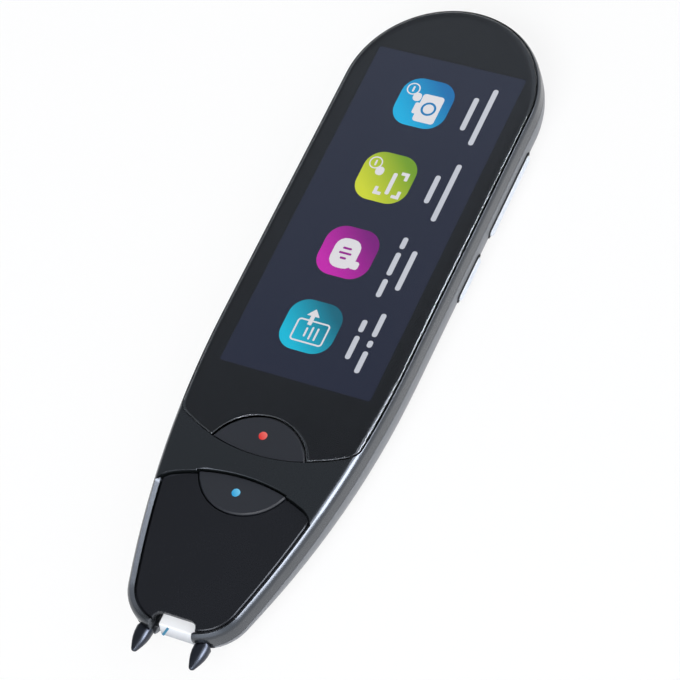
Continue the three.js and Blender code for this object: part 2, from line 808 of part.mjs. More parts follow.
// Outline of a side key seen from the side, length along Y and width along Z
function sideKeyOutline(length, width, y) {
  return roundedRectangle(length / 2, sideKeyHeight - width / 2, sideKeyHeight + width / 2,
    width / 2 - pressFit, 4).map((point) => new THREE.Vector2(point.x + y, point.y));
}

// Side key: rounded cap through the wall and a wider flange behind it
function makeSideKey(length, y) {
  const faceX = backHalfWidth(sideKeyHeight, 0, 0) + sideKeyProud;
  const cap = crosswise(alongX, [
    [sideKeyOutline(length, sideKeyWidth, y), sideFlangeX],
    [sideKeyOutline(length, sideKeyWidth, y), faceX - sideKeyEdge],
    [sideKeyOutline(length - sideKeyEdge, sideKeyWidth - sideKeyEdge, y), faceX - sideKeyEdge / 4],
    [sideKeyOutline(length - 2 * sideKeyEdge, sideKeyWidth - 2 * sideKeyEdge, y), faceX],
  ]);
  const flange = crosswise(alongX, [
    [sideKeyOutline(length + 2 * sideFlangeWidth, sideFlangeHeight, y), sideFlangeX],
    [sideKeyOutline(length + 2 * sideFlangeWidth, sideFlangeHeight, y),
      sideFlangeX + sideFlangeThickness],
  ]);
  return cap.add(flange);
}

// The rocker turns on a rib in the middle of its flange, which bears on the key board
function makeVolumeRocker() {
  const reach = sideFlangeX - rockerPivotX + sideFlangeThickness / 2;
  const rib = block(reach, rockerFulcrumWidth, sideKeyWidth,
    rockerPivotX + reach / 2, rockerY, sideKeyHeight - sideKeyWidth / 2);
  return makeSideKey(rockerLength, rockerY).add(rib);
}

// Slot of a side key, cut through the wall from outside
function sideSlot(length, y) {
  const gap = sideKeyGap;
  const outline = sideKeyOutline(length + 2 * gap, sideKeyWidth + 2 * clearance, y);
  return crosswise(alongX, [[outline, sideFlangeX], [outline, halfWidth + overrun]]);
}

function portOutline(grow) {
  const half = portHeight / 2 + grow;
  return roundedRectangle(half, -portWidth / 2 - grow, portWidth / 2 + grow, half - pressFit)
    .map((point) => new THREE.Vector2(point.x + portCentreHeight, point.y));
}

// Rear cover: one shell with a rounded back, seam tongue, slots, grille and rests
function makeRearCover() {
  const outer = bodySolid(backLevels(0, 0, roundSteps + 2));
  const cavity = bodySolid([
    ...backLevels(wall, floorThickness, roundSteps + 2),
    [wall, seamHeight + overrun],
  ]);
  const tongueLow = seamHeight - tongueHeight;
  const tongueTop = seamHeight + tongueHeight;
  const tongue = bodySolid([[lipWall + clearance, tongueLow], [lipWall + clearance, tongueTop]])
    .subtract(bodySolid([[wall, tongueLow - overrun], [wall, tongueTop + overrun]]));
  const windowPostY = windowBackY - windowPostLength / 2;
  const rests = [
    block(windowPostWidth, windowPostLength, windowLow, 0, windowPostY, 0),
    ...[batteryLowY - clearance - ribThickness, batteryTopY + clearance].map((y) =>
      block(batteryWidth / 2, ribThickness, floorThickness + ribHeight, 0, y + ribThickness / 2, 0)),
    ...portPostSpots.map(([x, y]) => disc(bossRadius, 0, portBoardLow, x, y)),
    ...keyBoardEnds.map((y) =>
      block(keyBoardPostWidth, keyBoardPostLength, keyBoardHeight, keyBoardX, y, 0)),
  ];
  let cover = outer.subtract(cavity).add(tongue);
  rests.forEach((rest) => {
    cover = cover.add(rest.intersect(outer));
  });
  cover = cover.subtract(notchCut(0)).subtract(prongChannels());
  cover = cover.subtract(sideSlot(rockerLength, rockerY)).subtract(sideSlot(powerKeyLength, powerKeyY));
  grilleCuts().forEach((slot) => {
    cover = cover.subtract(slot);
  });
  portPostSpots.forEach(([x, y]) => {
    cover = cover.subtract(screwHole(x, y, floorThickness, portBoardLow + overrun));
  });
  cover = cover.subtract(disc(microphoneHoleRadius, -overrun, floorThickness + overrun, 0, microphoneY));
  const portHole = crosswise(alongY, [
    [portOutline(clearance), endY - portRecess - portLength],
    [portOutline(clearance), endY + overrun],
  ]);
  return cover.subtract(portHole);
}

function grilleCuts() {
  const cuts = [];
  for (let slot = 0; slot < grilleSlots; slot += 1) {
    const x = (slot - (grilleSlots - 1) / 2) * grillePitch;
    const outline = roundedRectangle(grilleSlotWidth / 2, speakerY - grilleSlotLength / 2,
      speakerY + grilleSlotLength / 2, grilleSlotWidth / 2 - pressFit, 3)
      .map((point) => new THREE.Vector2(point.x + x, point.y));
    cuts.push(plate(outline, -overrun, floorThickness + overrun / 2));
  }
  return cuts;
}

// Cross-section of a prong or arm, as shares of its full width and height
function prongSection(y, share, lift, heightShare = share) {
  const half = (prongHeight * heightShare) / 2;
  const across = (prongWidth * share) / 2;
  const radius = Math.min(half, across) * prongRoundShare;
  const height = prongCentreHeight + lift;
  return [
    roundedRectangle(half, -across, across, radius, 4)
      .map((point) => new THREE.Vector2(point.x + height, point.y)),
    y,
  ];
}

// Contact fork: two tapered prongs on arms, joined by a bar behind the scan window
function makeContactFork() {
  const barLow = forkBarTop - forkBarThickness;
  const barY = noseY + forkBarFromNose + forkBarLength / 2;
  const tails = { left: barY + forkBarLength / 2, right: noseY + forkTailFromNose };
  const prong = (x, tailY) => {
    const levels = prongShares.map(([lengthShare, widthShare]) =>
      prongSection(noseY + prongRoot - (prongReach + prongRoot) * lengthShare, widthShare,
        prongTipLift * lengthShare));
    levels.reverse();
    levels.push(prongSection(noseY + prongRoot + armNeckLength, armShare, 0, 1));
    levels.push(prongSection(tailY, armShare, 0, 1));
    const shifted = levels.map(([points, y]) => [
      points.map((point) => new THREE.Vector2(point.x, point.y + x)),
      y,
    ]);
    return crosswise(alongY, shifted);
  };
  const bar = block(2 * prongX, forkBarLength, forkBarThickness, 0, barY, barLow);
  return prong(-prongX, tails.left).add(prong(prongX, tails.right)).add(bar);
}

// Scan window: a block with a sloped front face
function makeScanWindow() {
  const half = windowWidth / 2;
  const frontTop = noseY + windowFrontFromNose;
  const frontLow = frontTop - windowSlope;
  const profile = [
    new THREE.Vector2(frontLow, windowLow),
    new THREE.Vector2(windowBackY, windowLow),
    new THREE.Vector2(windowBackY, windowTop),
    new THREE.Vector2(frontTop, windowTop),
  ];
  return crosswise(alongX, [[profile, -half], [profile, half]]);
}

function roundBarAlongY(radius, low, high, height) {
  const geometry = new THREE.CylinderGeometry(radius, radius, high - low, pinSides);
  geometry.translate(0, (low + high) / 2, height);
  return solidOf(geometry);
}

// Camera module: square body with a lens barrel towards the scan window
function makeScanCamera() {
  const body = block(cameraWidth, cameraLength, cameraHeight, 0, cameraY + cameraLength / 2, boardTop);
  const barrel = roundBarAlongY(barrelRadius, cameraY - barrelLength, cameraY + wall, cameraAxis);
  return body.add(barrel);
}

function makeCameraLens() {
  const front = cameraY - barrelLength;
  return roundBarAlongY(lensRadius, front - lensThickness, front, cameraAxis);
}

// Main board, cut to the body outline, with holes for its screws
function makeMainBoard() {
  let board = bodySolid([[boardEdgeInset, seamHeight], [boardEdgeInset, seamHeight + boardThickness]]);
  board = board.intersect(
    block(bodyWidth, boardLength, bodyThickness, 0, boardLowY + boardLength / 2, 0),
  );
  boardScrewSpots.forEach(([x, y]) => {
    board = board.subtract(screwHole(x, y, 0, bodyThickness));
  });
  return board;
}

// Push switch: square body with a round plunger, standing on its base
function makeSwitch(width, height, plungerLength) {
  const body = block(width, width, height, 0, 0, 0);
  return body.add(disc(switchPlungerRadius, height / 2, height + plungerLength, 0, 0));
}

// Edge switch that the tail of the fork pushes
function makeContactSwitch() {
  const width = prongWidth * contactSwitchWidthShare;
  const body = block(width, contactSwitchLength, contactSwitchHeight, 0, contactSwitchLength / 2, 0);
  const geometry = new THREE.CylinderGeometry(contactPlungerRadius, contactPlungerRadius,
    2 * contactPlungerLength, pinSides);
  geometry.translate(0, 0, contactSwitchHeight / 2);
  return body.add(solidOf(geometry));
}

// Carrier plate behind the display, with two openings for ribbons
function makeCarrierPlate() {
  const low = deckBottom - carrierThickness;
  const inset = wall + clearance;
  let carrier = bodySolid([[inset, low], [inset, deckBottom]]);
  const length = endY - carrierLowY;
  carrier = carrier.intersect(block(bodyWidth, length, bodyThickness, 0, carrierLowY + length / 2, 0));
  [panelLowY + ribbonSlotLength, panelTopY - 2 * ribbonSlotLength].forEach((y) => {
    const slot = roundedRectangle(ribbonSlotWidth / 2, y, y + ribbonSlotLength, ribThickness);
    carrier = carrier.subtract(plate(slot, 0, bodyThickness));
  });
  carrierScrewSpots.forEach(([x, y]) => {
    carrier = carrier.subtract(screwHole(x, y, 0, bodyThickness));
  });
  return carrier;
}

// A screw that points up, with its head below its seat
function makeScrew(length) {
  return turned([
    [0, -screwHeadHeight],
    [screwHeadRadius, -screwHeadHeight],
    [screwHeadRadius, 0],
    [screwRadius, 0],
    [screwRadius, length - screwRadius],
    [screwRadius / 2, length],
    [0, length],
  ], 0, 0);
}

// Battery pouch with softened long edges
function makeBattery() {
  const half = batteryWidth / 2;
  const edge = batteryCornerRadius / 4;
  const outline = (grow) => roundedRectangle(half + grow, batteryLowY - grow, batteryTopY + grow,
    batteryCornerRadius + grow);
  return outlineSolid([
    [outline(-edge), floorThickness],
    [outline(0), floorThickness + edge],
    [outline(0), floorThickness + batteryThickness - edge],
    [outline(-edge), floorThickness + batteryThickness],
  ]);
}

function speakerOutline(grow) {
  return roundedRectangle(speakerWidth / 2 + grow, speakerLowY - grow, speakerLowY + speakerLength + grow,
    speakerCornerRadius + grow);
}

// Box speaker with a sunk cone towards the grille
function makeSpeaker() {
  const low = floorThickness + meshThickness;
  const coneLow = low + speakerThickness / 4;
  const box = plate(speakerOutline(0), low, low + speakerThickness);
  return box.subtract(plate(speakerOutline(-wall), low - overrun, coneLow));
}

function makePortShell() {
  const inner = endY - portRecess - portLength;
  const outer = endY - portRecess;
  const shell = crosswise(alongY, [[portOutline(0), inner], [portOutline(0), outer]]);
  return shell.subtract(crosswise(alongY, [
    [portOutline(-portShell), inner + portShell],
    [portOutline(-portShell), outer + overrun],
  ]));
}

// Contact tongue on its base, inside the port shell
function makePortTongue() {
  const baseLow = endY - portRecess - portLength + portShell;
  const baseLength = portLength - portTongueLength - portTongueSetback - portShell;
  const inset = portShell + pressFit;
  const base = crosswise(alongY, [
    [portOutline(-inset), baseLow],
    [portOutline(-inset), baseLow + baseLength],
  ]);
  const tongueLength = portTongueLength + portShell;
  const tongue = block(portTongueWidth, tongueLength, portTongueThickness, 0,
    baseLow + baseLength - portShell + tongueLength / 2, portCentreHeight - portTongueThickness / 2);
  return base.add(tongue);
}

function makePortBoard() {
  let board = bodySolid([[portBoardInset, seamHeight], [portBoardInset, seamHeight + boardThickness]]);
  board = board.intersect(block(portBoardWidth, portBoardLength, bodyThickness, 0, portBoardY, 0));
  portPostSpots.forEach(([x, y]) => {
    board = board.subtract(screwHole(x, y, 0, bodyThickness));
  });
  return board;
}

addPiece("front_frame", makeFrontFrame(), gunmetal);
addPiece("cover_glass", makeCoverGlass(), glossBlack);
addPiece("glass_gasket", makeGlassGasket(), matteBlack);
addPiece("display_panel", makeDisplayPanel(), displayBlue);
addPiece("display_bracket", makeDisplayBracket(), steel);
addPiece("nose_cover", makeNoseCover(), satinBlack);
addPiece("upper_key", makeFrontKey(1, upperKeyDrop, upperDishDepth, upperDotY), keyBlack);
addPiece("upper_key_dot", makeKeyDot(upperKeyDrop, upperDishDepth, upperDotY), redDot);
addPiece("lower_key", makeFrontKey(-1, lowerKeyDrop, lowerDishDepth, lowerDotY), keyBlack);
addPiece("lower_key_dot", makeKeyDot(lowerKeyDrop, lowerDishDepth, lowerDotY), blueDot);
addPiece("rear_cover", makeRearCover(), greyShell);
addPiece("volume_rocker", makeVolumeRocker(), paleMetal);
addPiece("power_key", makeSideKey(powerKeyLength, powerKeyY), paleMetal);
addPiece("contact_fork", makeContactFork(), gunmetal);
addPiece("scan_window", makeScanWindow(), windowWhite);
addPiece("scan_camera", makeScanCamera(), plasticBlack);
addPiece("scan_camera_lens", makeCameraLens(), clearLens);
[["left", -1], ["right", 1]].forEach(([side, sign]) => {
  const light = block(lightSize, lightThickness, lightSize, 0, 0, 0);
  const place = [
    sign * (cameraWidth / 2 - lightSize / 2),
    cameraY - lightThickness / 2,
    cameraAxis - lightSize / 2,
  ];
  addPiece(`scan_light_${side}`, light, windowWhite, place);
});
addPiece("main_board", makeMainBoard(), boardGreen, [0, 0, boardBottom - seamHeight]);
const shield = block(shieldWidth, shieldLength, shieldHeight, 0, 0, 0);
addPiece("processor_shield", shield, steel, [0, shieldLowY + shieldLength / 2, boardTop]);
const keySwitch = () => makeSwitch(switchWidth, switchHeight, switchPlungerLength);
addPiece("upper_key_switch", keySwitch(), plasticBlack, [0, upperDotY, boardTop]);
addPiece("lower_key_switch", keySwitch(), plasticBlack, [0, lowerDotY, boardTop]);
addPiece("contact_switch", makeContactSwitch(), plasticBlack, [prongX, contactSwitchY, boardTop]);
addPiece("carrier_plate", makeCarrierPlate(), steel);
carrierScrewSpots.forEach(([x, y], index) => {
  const length = carrierThickness + carrierScrewDepth - screwTipRoom;
  const seat = deckBottom - carrierThickness;
  addPiece(`carrier_screw_${index + 1}`, makeScrew(length), steel, [x, y, seat]);
});
boardScrewSpots.forEach(([x, y], index) => {
  addPiece(`board_screw_${index + 1}`, makeScrew(screwLength), steel, [x, y, boardBottom]);
});
addPiece("battery", makeBattery(), batteryGrey);
addPiece("speaker_mesh", plate(speakerOutline(-clearance), floorThickness, floorThickness + meshThickness),
  matteBlack);
addPiece("speaker", makeSpeaker(), plasticBlack);
addPiece("usb_port_shell", makePortShell(), steel);
addPiece("usb_port_tongue", makePortTongue(), plasticBlack);
addPiece("usb_board", makePortBoard(), boardGreen, [0, 0, portBoardLow - seamHeight]);
portPostSpots.forEach(([x, y], index) => {
  const screw = addPiece(`usb_board_screw_${index + 1}`, makeScrew(portScrewLength), steel,
    [x, y, portBoardLow + boardThickness]);
  screw.rotation.x = Math.PI;
});
addPiece("microphone", block(microphoneLength, microphoneWidth, microphoneHeight, 0, 0, 0), steel,
  [0, microphoneY, portBoardLow - microphoneHeight]);
const keyBoardLow = floorThickness + clearance;
addPiece("side_key_board",
  block(keyBoardThickness, keyBoardTopY - keyBoardLowY, keyBoardHeight, 0, 0, 0), boardGreen,
  [keyBoardX, (keyBoardLowY + keyBoardTopY) / 2, keyBoardLow]);
[
  ["volume_up_switch", rockerY + rockerSwitchSpacing / 2],
  ["volume_down_switch", rockerY - rockerSwitchSpacing / 2],
  ["power_switch", powerKeyY],
].forEach(([name, y]) => {
  const solid = makeSwitch(sideSwitchWidth, sideSwitchHeight, sideSwitchPlungerLength);
  const mesh = addPiece(name, solid, plasticBlack, [keyBoardX + keyBoardThickness / 2, y, sideKeyHeight]);
  mesh.rotation.y = Math.PI / 2;
});

export default pen;
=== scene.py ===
# %% [markdown]
# # A pen scanner, dressed in Blender
#
# The measured model of a hand-held pen scanner comes first: a slim body with a long touch display,
# two dished keys near the nose, and a sprung fork with a prong on each side of the scan window. It
# is fixed, and every piece made here sits on it. This lesson sets up the camera, the floor, the
# room and its lamps. Then it gives the pen its finishes, its fine edges and the lit picture.

# %% Load the measured model
import math

import bmesh
import bpy
from mathutils import Matrix, Vector


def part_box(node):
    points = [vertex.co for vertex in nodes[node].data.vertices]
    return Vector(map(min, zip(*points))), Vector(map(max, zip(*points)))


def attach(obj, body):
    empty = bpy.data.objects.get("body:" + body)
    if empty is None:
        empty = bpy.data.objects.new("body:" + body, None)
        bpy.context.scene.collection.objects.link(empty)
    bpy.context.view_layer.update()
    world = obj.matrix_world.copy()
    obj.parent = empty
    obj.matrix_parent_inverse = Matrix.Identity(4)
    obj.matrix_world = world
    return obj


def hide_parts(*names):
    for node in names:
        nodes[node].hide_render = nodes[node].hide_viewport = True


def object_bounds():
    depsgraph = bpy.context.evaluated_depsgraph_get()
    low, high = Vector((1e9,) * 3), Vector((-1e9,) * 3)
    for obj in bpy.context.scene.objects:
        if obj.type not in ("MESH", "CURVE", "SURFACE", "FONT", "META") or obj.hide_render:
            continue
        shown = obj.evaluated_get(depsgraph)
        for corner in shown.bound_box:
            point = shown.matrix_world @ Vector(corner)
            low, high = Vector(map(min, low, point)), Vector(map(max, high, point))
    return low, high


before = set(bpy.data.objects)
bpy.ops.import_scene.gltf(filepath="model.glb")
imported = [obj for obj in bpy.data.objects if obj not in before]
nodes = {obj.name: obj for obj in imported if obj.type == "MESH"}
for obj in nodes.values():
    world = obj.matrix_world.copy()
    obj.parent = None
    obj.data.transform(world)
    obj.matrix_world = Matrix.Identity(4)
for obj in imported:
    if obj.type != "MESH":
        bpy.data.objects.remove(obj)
model_low, model_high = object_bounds()
MM = 0.001
bpy.ops.object.select_all(action="DESELECT")
print("pieces in the model:", len(nodes))

# %% [markdown]
# ## The camera
#
# A product picture like this one is taken with a long lens from more than half a metre, so the
# sides of the pen stay almost parallel. The camera looks down at the display from the nose's right
# side and is rolled, so the pen lies on the diagonal. Its place and its three directions are given
# as they are known, because a rolled camera is hard to aim by eye.

# %% Camera
camera_place = Vector((266.47, -267.24, 553.51)) * MM
camera_right = Vector((0.88415, 0.40759, -0.22835))
camera_down = Vector((0.24483, -0.82050, -0.51656))
camera_forward = Vector((-0.39791, 0.40082, -0.82524))
focal_pixels = 3263.8
picture_pixels = 680
sensor_width = 36
nearest_seen = 0.01

bpy.ops.object.camera_add(location=camera_place)
camera = bpy.context.object
turn = Matrix((camera_right, -camera_down, -camera_forward)).transposed()
camera.matrix_world = Matrix.Translation(camera_place) @ turn.to_4x4()
camera.data.sensor_width = sensor_width
camera.data.lens = focal_pixels / picture_pixels * sensor_width
camera.data.clip_start = nearest_seen
bpy.context.scene.camera = camera
print("lens in millimetres:", round(camera.data.lens, 1))

# %% [markdown]
# ## Shader nodes in few words
#
# The floor, the room and every finish are trees of shader nodes. Written out, each node takes a
# line to add, a line for every value and a line for every link. Three helpers keep that short: one
# gives a node's inputs their values and links, one adds a node, and one adds the Math node, which
# is used most.


# %% Node helpers
def feed(tree, node, values):
    """Gives a node's inputs their plain values, or links from the outputs of other nodes."""
    for socket, value in values.items():
        if isinstance(value, bpy.types.NodeSocket):
            tree.links.new(value, node.inputs[socket])
        else:
            node.inputs[socket].default_value = value


def add_node(tree, kind, values=None, **settings):
    """A new node with its settings made and its inputs fed."""
    node = tree.nodes.new(kind)
    for name, setting in settings.items():
        setattr(node, name, setting)
    feed(tree, node, values or {})
    return node


def math_node(tree, operation, first, second, **settings):
    """The result of a Math node whose two inputs are links or plain numbers."""
    node = add_node(
        tree, "ShaderNodeMath", {0: first, 1: second}, operation=operation, **settings)
    return node.outputs[0]


# %% [markdown]
# ## Pale floor
#
# The pen lies on a white table. The floor is a large plane, and most of its brightness is its own
# wherever the camera, a mirror-like surface or clear glass sees it. That keeps it white in the
# picture without more light on the pen, and the rest of it still takes the pen's soft shadow.

# %% Floor plane
floor_size = 6
floor_gap = 0.02 * MM

bpy.ops.mesh.primitive_plane_add(size=floor_size, location=(0, 0, model_low.z - floor_gap))
floor = bpy.context.object
floor.name = "table_top"
bpy.ops.object.mode_set(mode="EDIT")
bpy.ops.mesh.subdivide(number_cuts=3)
bpy.ops.object.mode_set(mode="OBJECT")
print("floor under the pen at", round(model_low.z / MM, 2), "mm")

# %% Floor finish
floor_own_share = 0.85
floor_white = (0.9, 0.9, 0.9, 1)
pure_white = (1, 1, 1, 1)

floor_finish = bpy.data.materials.new("white_table")
floor_finish.use_nodes = True
floor_tree = floor_finish.node_tree
floor_tree.nodes.clear()
floor_rays = add_node(floor_tree, "ShaderNodeLightPath").outputs
seen_or_mirrored = math_node(
    floor_tree, "ADD", floor_rays["Is Camera Ray"], floor_rays["Is Glossy Ray"])
seen_or_through = math_node(
    floor_tree, "ADD", seen_or_mirrored, floor_rays["Is Transmission Ray"], use_clamp=True)
floor_paint = add_node(floor_tree, "ShaderNodeBsdfDiffuse", {"Color": floor_white})
floor_own = add_node(floor_tree, "ShaderNodeEmission", {"Color": pure_white})
floor_mix = add_node(floor_tree, "ShaderNodeMixShader", {
    "Fac": math_node(floor_tree, "MULTIPLY", seen_or_through, floor_own_share),
    1: floor_paint.outputs[0],
    2: floor_own.outputs[0],
})
add_node(floor_tree, "ShaderNodeOutputMaterial", {"Surface": floor_mix.outputs[0]})
floor.data.materials.append(floor_finish)
print("floor finish:", len(floor_tree.nodes), "nodes")

# %% [markdown]
# ## Room and lamps
#
# Black glass shows the room more than its own colour. The room here is a white tent: brightest
# towards the front, bright on the right, and darker on the left and high overhead. Two cool lamps
# on the right draw the long highlight on the rim and show only in shiny surfaces. A third in front
# gives the pale surfaces their colour. The room's brightness depends only on direction, and the
# camera itself sees it white.

# %% Room
world = bpy.data.worlds.new("white_tent")
bpy.context.scene.world = world
world.use_nodes = True
room = world.node_tree
room.nodes.clear()
room_direction = add_node(room, "ShaderNodeTexCoord")
room_axes = add_node(room, "ShaderNodeSeparateXYZ", {0: room_direction.outputs["Generated"]})


def room_range(axis, start, end, before, after):
    """A brightness that eases from before to after while a direction's axis goes start to end."""
    step = add_node(room, "ShaderNodeMapRange", {
        "Value": room_axes.outputs[axis],
        "From Min": start,
        "From Max": end,
        "To Min": before,
        "To Max": after,
    }, interpolation_type="SMOOTHSTEP")
    return step.outputs[0]


overhead = room_range("Z", start=0.72, end=0.9, before=1.1, after=0.28)
sideways = room_range("X", start=-0.75, end=0.15, before=0.25, after=1.0)
frontward = room_range("Y", start=-0.9, end=-0.5, before=1.8, after=1.0)
tent_level = math_node(
    room, "MULTIPLY", math_node(room, "MULTIPLY", overhead, sideways), frontward)
tent_white = (0.91, 0.95, 1, 1)
tent = add_node(room, "ShaderNodeBackground", {"Color": tent_white, "Strength": tent_level})
backdrop = add_node(room, "ShaderNodeBackground", {"Color": pure_white})
room_rays = add_node(room, "ShaderNodeLightPath")
room_mix = add_node(room, "ShaderNodeMixShader", {
    "Fac": room_rays.outputs["Is Camera Ray"],
    1: tent.outputs[0],
    2: backdrop.outputs[0],
})
add_node(room, "ShaderNodeOutputWorld", {"Surface": room_mix.outputs[0]})
bpy.context.scene.view_settings.view_transform = "Standard"
print("room:", len(room.nodes), "nodes")


# %% Lamps
def soft_lamp(name, place, width, length, power):
    """An area lamp that faces the middle of the pen and isn't seen through clear glass."""
    bpy.ops.object.light_add(type="AREA", location=place)
    lamp = bpy.context.object
    lamp.name = name
    lamp.data.shape = "RECTANGLE"
    lamp.data.size = width
    lamp.data.size_y = length
    lamp.data.energy = power
    lamp.rotation_mode = "QUATERNION"
    lamp.rotation_quaternion = (Vector((0, 0, 0)) - Vector(place)).to_track_quat("-Z", "Y")
    lamp.visible_transmission = False
    print(lamp.name, "at", [round(value, 2) for value in lamp.location], "m")
    return lamp


cool_light = (0.95, 0.965, 1)
rim_lamp = soft_lamp("rim_lamp", (2.02, 0.48, 1.4), width=1.6, length=1.4, power=108)
crest_lamp = soft_lamp("crest_lamp", (0.47, 0.17, 0.87), width=0.46, length=0.48, power=2.4)
soft_lamp("key_lamp", (0.2, -0.9, 1.1), width=0.7, length=0.7, power=13)
for sheen_lamp in (rim_lamp, crest_lamp):
    sheen_lamp.visible_diffuse = False
    sheen_lamp.data.color = cool_light

# %% [markdown]
# ## Effects that several finishes share
#
# Moulded plastic, paint and anodised metal all have a fine grain: small changes of tone, gloss and
# height. Instead of building it again in every material, it is made once as a node group with named
# inputs. A second group makes the long fine lines of brushed and rolled sheet, and a third the
# faint blotches that hands leave on anything glossy.

# %% Node group helpers
FLOAT = "NodeSocketFloat"
COLOR = "NodeSocketColor"
VECTOR = "NodeSocketVector"


def new_group(name, inputs, outputs):
    """A shader node group, what comes into it, and the node that its results go to."""
    group = bpy.data.node_groups.new(name, "ShaderNodeTree")
    for socket, kind in inputs:
        group.interface.new_socket(name=socket, in_out="INPUT", socket_type=kind)
    for socket, kind in outputs:
        group.interface.new_socket(name=socket, in_out="OUTPUT", socket_type=kind)
    entry = add_node(group, "NodeGroupInput")
    leave = add_node(group, "NodeGroupOutput")
    return group, entry.outputs, leave


def tone_mix(tree, factor, low, high, **settings):
    """A mix of two colours by a factor."""
    mix = add_node(
        tree, "ShaderNodeMix", {"Factor": factor, "A": low, "B": high}, data_type="RGBA",
        **settings)
    return mix.outputs["Result"]


def spread_out(tree, noise, middle, spread):
    """A value that noise moves to both sides of its middle, by half the spread at most."""
    off = math_node(tree, "SUBTRACT", noise, 0.5)
    return math_node(tree, "ADD", middle, math_node(tree, "MULTIPLY", off, spread))


# %% Fine grain
broad_scale = 45

grain, grain_in, grain_out = new_group(
    "fine_grain",
    [("Vector", VECTOR), ("Low Tone", COLOR), ("High Tone", COLOR), ("Roughness", FLOAT),
     ("Roughness Spread", FLOAT), ("Grain Size", FLOAT)],
    [("Color", COLOR), ("Roughness", FLOAT), ("Height", FLOAT)],
)
fine_noise = add_node(grain, "ShaderNodeTexNoise", {
    "Vector": grain_in["Vector"],
    "Scale": math_node(grain, "DIVIDE", 1.0, grain_in["Grain Size"]),
    "Detail": 3,
}).outputs["Fac"]
broad_noise = add_node(grain, "ShaderNodeTexNoise", {
    "Vector": grain_in["Vector"],
    "Scale": broad_scale,
    "Detail": 2,
}).outputs["Fac"]
grain_level = math_node(
    grain, "MULTIPLY", math_node(grain, "ADD", fine_noise, broad_noise), 0.5)
feed(grain, grain_out, {
    "Color": tone_mix(grain, grain_level, grain_in["Low Tone"], grain_in["High Tone"]),
    "Roughness": spread_out(
        grain, grain_level, grain_in["Roughness"], grain_in["Roughness Spread"]),
    "Height": fine_noise,
})
print("shared group:", grain.name)

# %% Rolled and brushed lines
line_scales = (60, 6000, 6000)

brushed, brushed_in, brushed_out = new_group(
    "brushed_lines",
    [("Vector", VECTOR), ("Low Tone", COLOR), ("High Tone", COLOR), ("Roughness", FLOAT),
     ("Roughness Spread", FLOAT)],
    [("Color", COLOR), ("Roughness", FLOAT), ("Height", FLOAT)],
)
line_stretch = add_node(
    brushed, "ShaderNodeMapping", {"Vector": brushed_in["Vector"], "Scale": line_scales})
line_noise = add_node(brushed, "ShaderNodeTexNoise", {
    "Vector": line_stretch.outputs[0],
    "Scale": 1,
    "Detail": 2,
}).outputs["Fac"]
feed(brushed, brushed_out, {
    "Color": tone_mix(brushed, line_noise, brushed_in["Low Tone"], brushed_in["High Tone"]),
    "Roughness": spread_out(
        brushed, line_noise, brushed_in["Roughness"], brushed_in["Roughness Spread"]),
    "Height": line_noise,
})
print("shared group:", brushed.name)

# %% Faint hand marks on gloss
mark_scale = 28
mark_start = 0.52
mark_gain = 6.0

marks, marks_in, marks_out = new_group(
    "hand_marks",
    [("Vector", VECTOR), ("Roughness", FLOAT), ("Mark Roughness", FLOAT), ("Mark Share", FLOAT)],
    [("Roughness", FLOAT), ("Mask", FLOAT)],
)
mark_noise = add_node(marks, "ShaderNodeTexNoise", {
    "Vector": marks_in["Vector"],
    "Scale": mark_scale,
    "Detail": 5,
    "Roughness": 0.6,
})
mark_edge = math_node(marks, "SUBTRACT", mark_noise.outputs["Fac"], mark_start)
mark_clamp = add_node(
    marks, "ShaderNodeClamp", {"Value": math_node(marks, "MULTIPLY", mark_edge, mark_gain)})
mark_mask = math_node(marks, "MULTIPLY", mark_clamp.outputs[0], marks_in["Mark Share"])
mark_more = math_node(marks, "MULTIPLY", mark_mask, marks_in["Mark Roughness"])
feed(marks, marks_out, {
    "Roughness": math_node(marks, "ADD", marks_in["Roughness"], mark_more),
    "Mask": mark_mask,
})
print("shared group:", marks.name)

# %% [markdown]
# ## Finishes
#
# Each finish is one Principled material. The group in front of it varies its colour, gloss and
# height over the surface in Object coordinates, which stay put because every piece keeps its place
# in its mesh. Plain values, such as metalness and coat, are set on the shader itself.

# %% Finish maker
bump_depth = 0.02 * MM


def new_material(name):
    """A new material, its tree of nodes and its Principled shader."""
    material = bpy.data.materials.new(name)
    material.use_nodes = True
    return material, material.node_tree, material.node_tree.nodes["Principled BSDF"]


def tone(color, share):
    """The colour made lighter or darker by a share."""
    return tuple(min(1.0, channel * (1 + share)) for channel in color) + (1.0,)


def new_finish(
        name, group, color, shift, values, bump, metallic=0.0, coat=0.0, coat_rough=0.1, ior=1.45,
        specular=0.5, sheen=pure_white):
    """A material that takes its tone, roughness and bump from a shared group."""
    material, tree, shader = new_material(name)
    place = add_node(tree, "ShaderNodeTexCoord")
    effect = add_node(tree, "ShaderNodeGroup", {
        "Vector": place.outputs["Object"],
        "Low Tone": tone(color, -shift),
        "High Tone": tone(color, shift),
        **values,
    }, node_tree=group)
    height = add_node(tree, "ShaderNodeBump", {
        "Strength": bump,
        "Distance": bump_depth,
        "Height": effect.outputs["Height"],
    })
    feed(tree, shader, {
        "Base Color": effect.outputs["Color"],
        "Roughness": effect.outputs["Roughness"],
        "Normal": height.outputs["Normal"],
        "Metallic": metallic,
        "Coat Weight": coat,
        "Coat Roughness": coat_rough,
        "IOR": ior,
        "Specular IOR Level": specular,
        "Specular Tint": sheen,
    })
    return material


def moulded(name, color, roughness, size=0.25, shift=0.1, spread=0.12, bump=0.25, **more):
    """A finish with fine grain of a given size in millimetres."""
    values = {"Roughness": roughness, "Roughness Spread": spread, "Grain Size": size * MM}
    return new_finish(name, grain, color, shift, values, bump, **more)


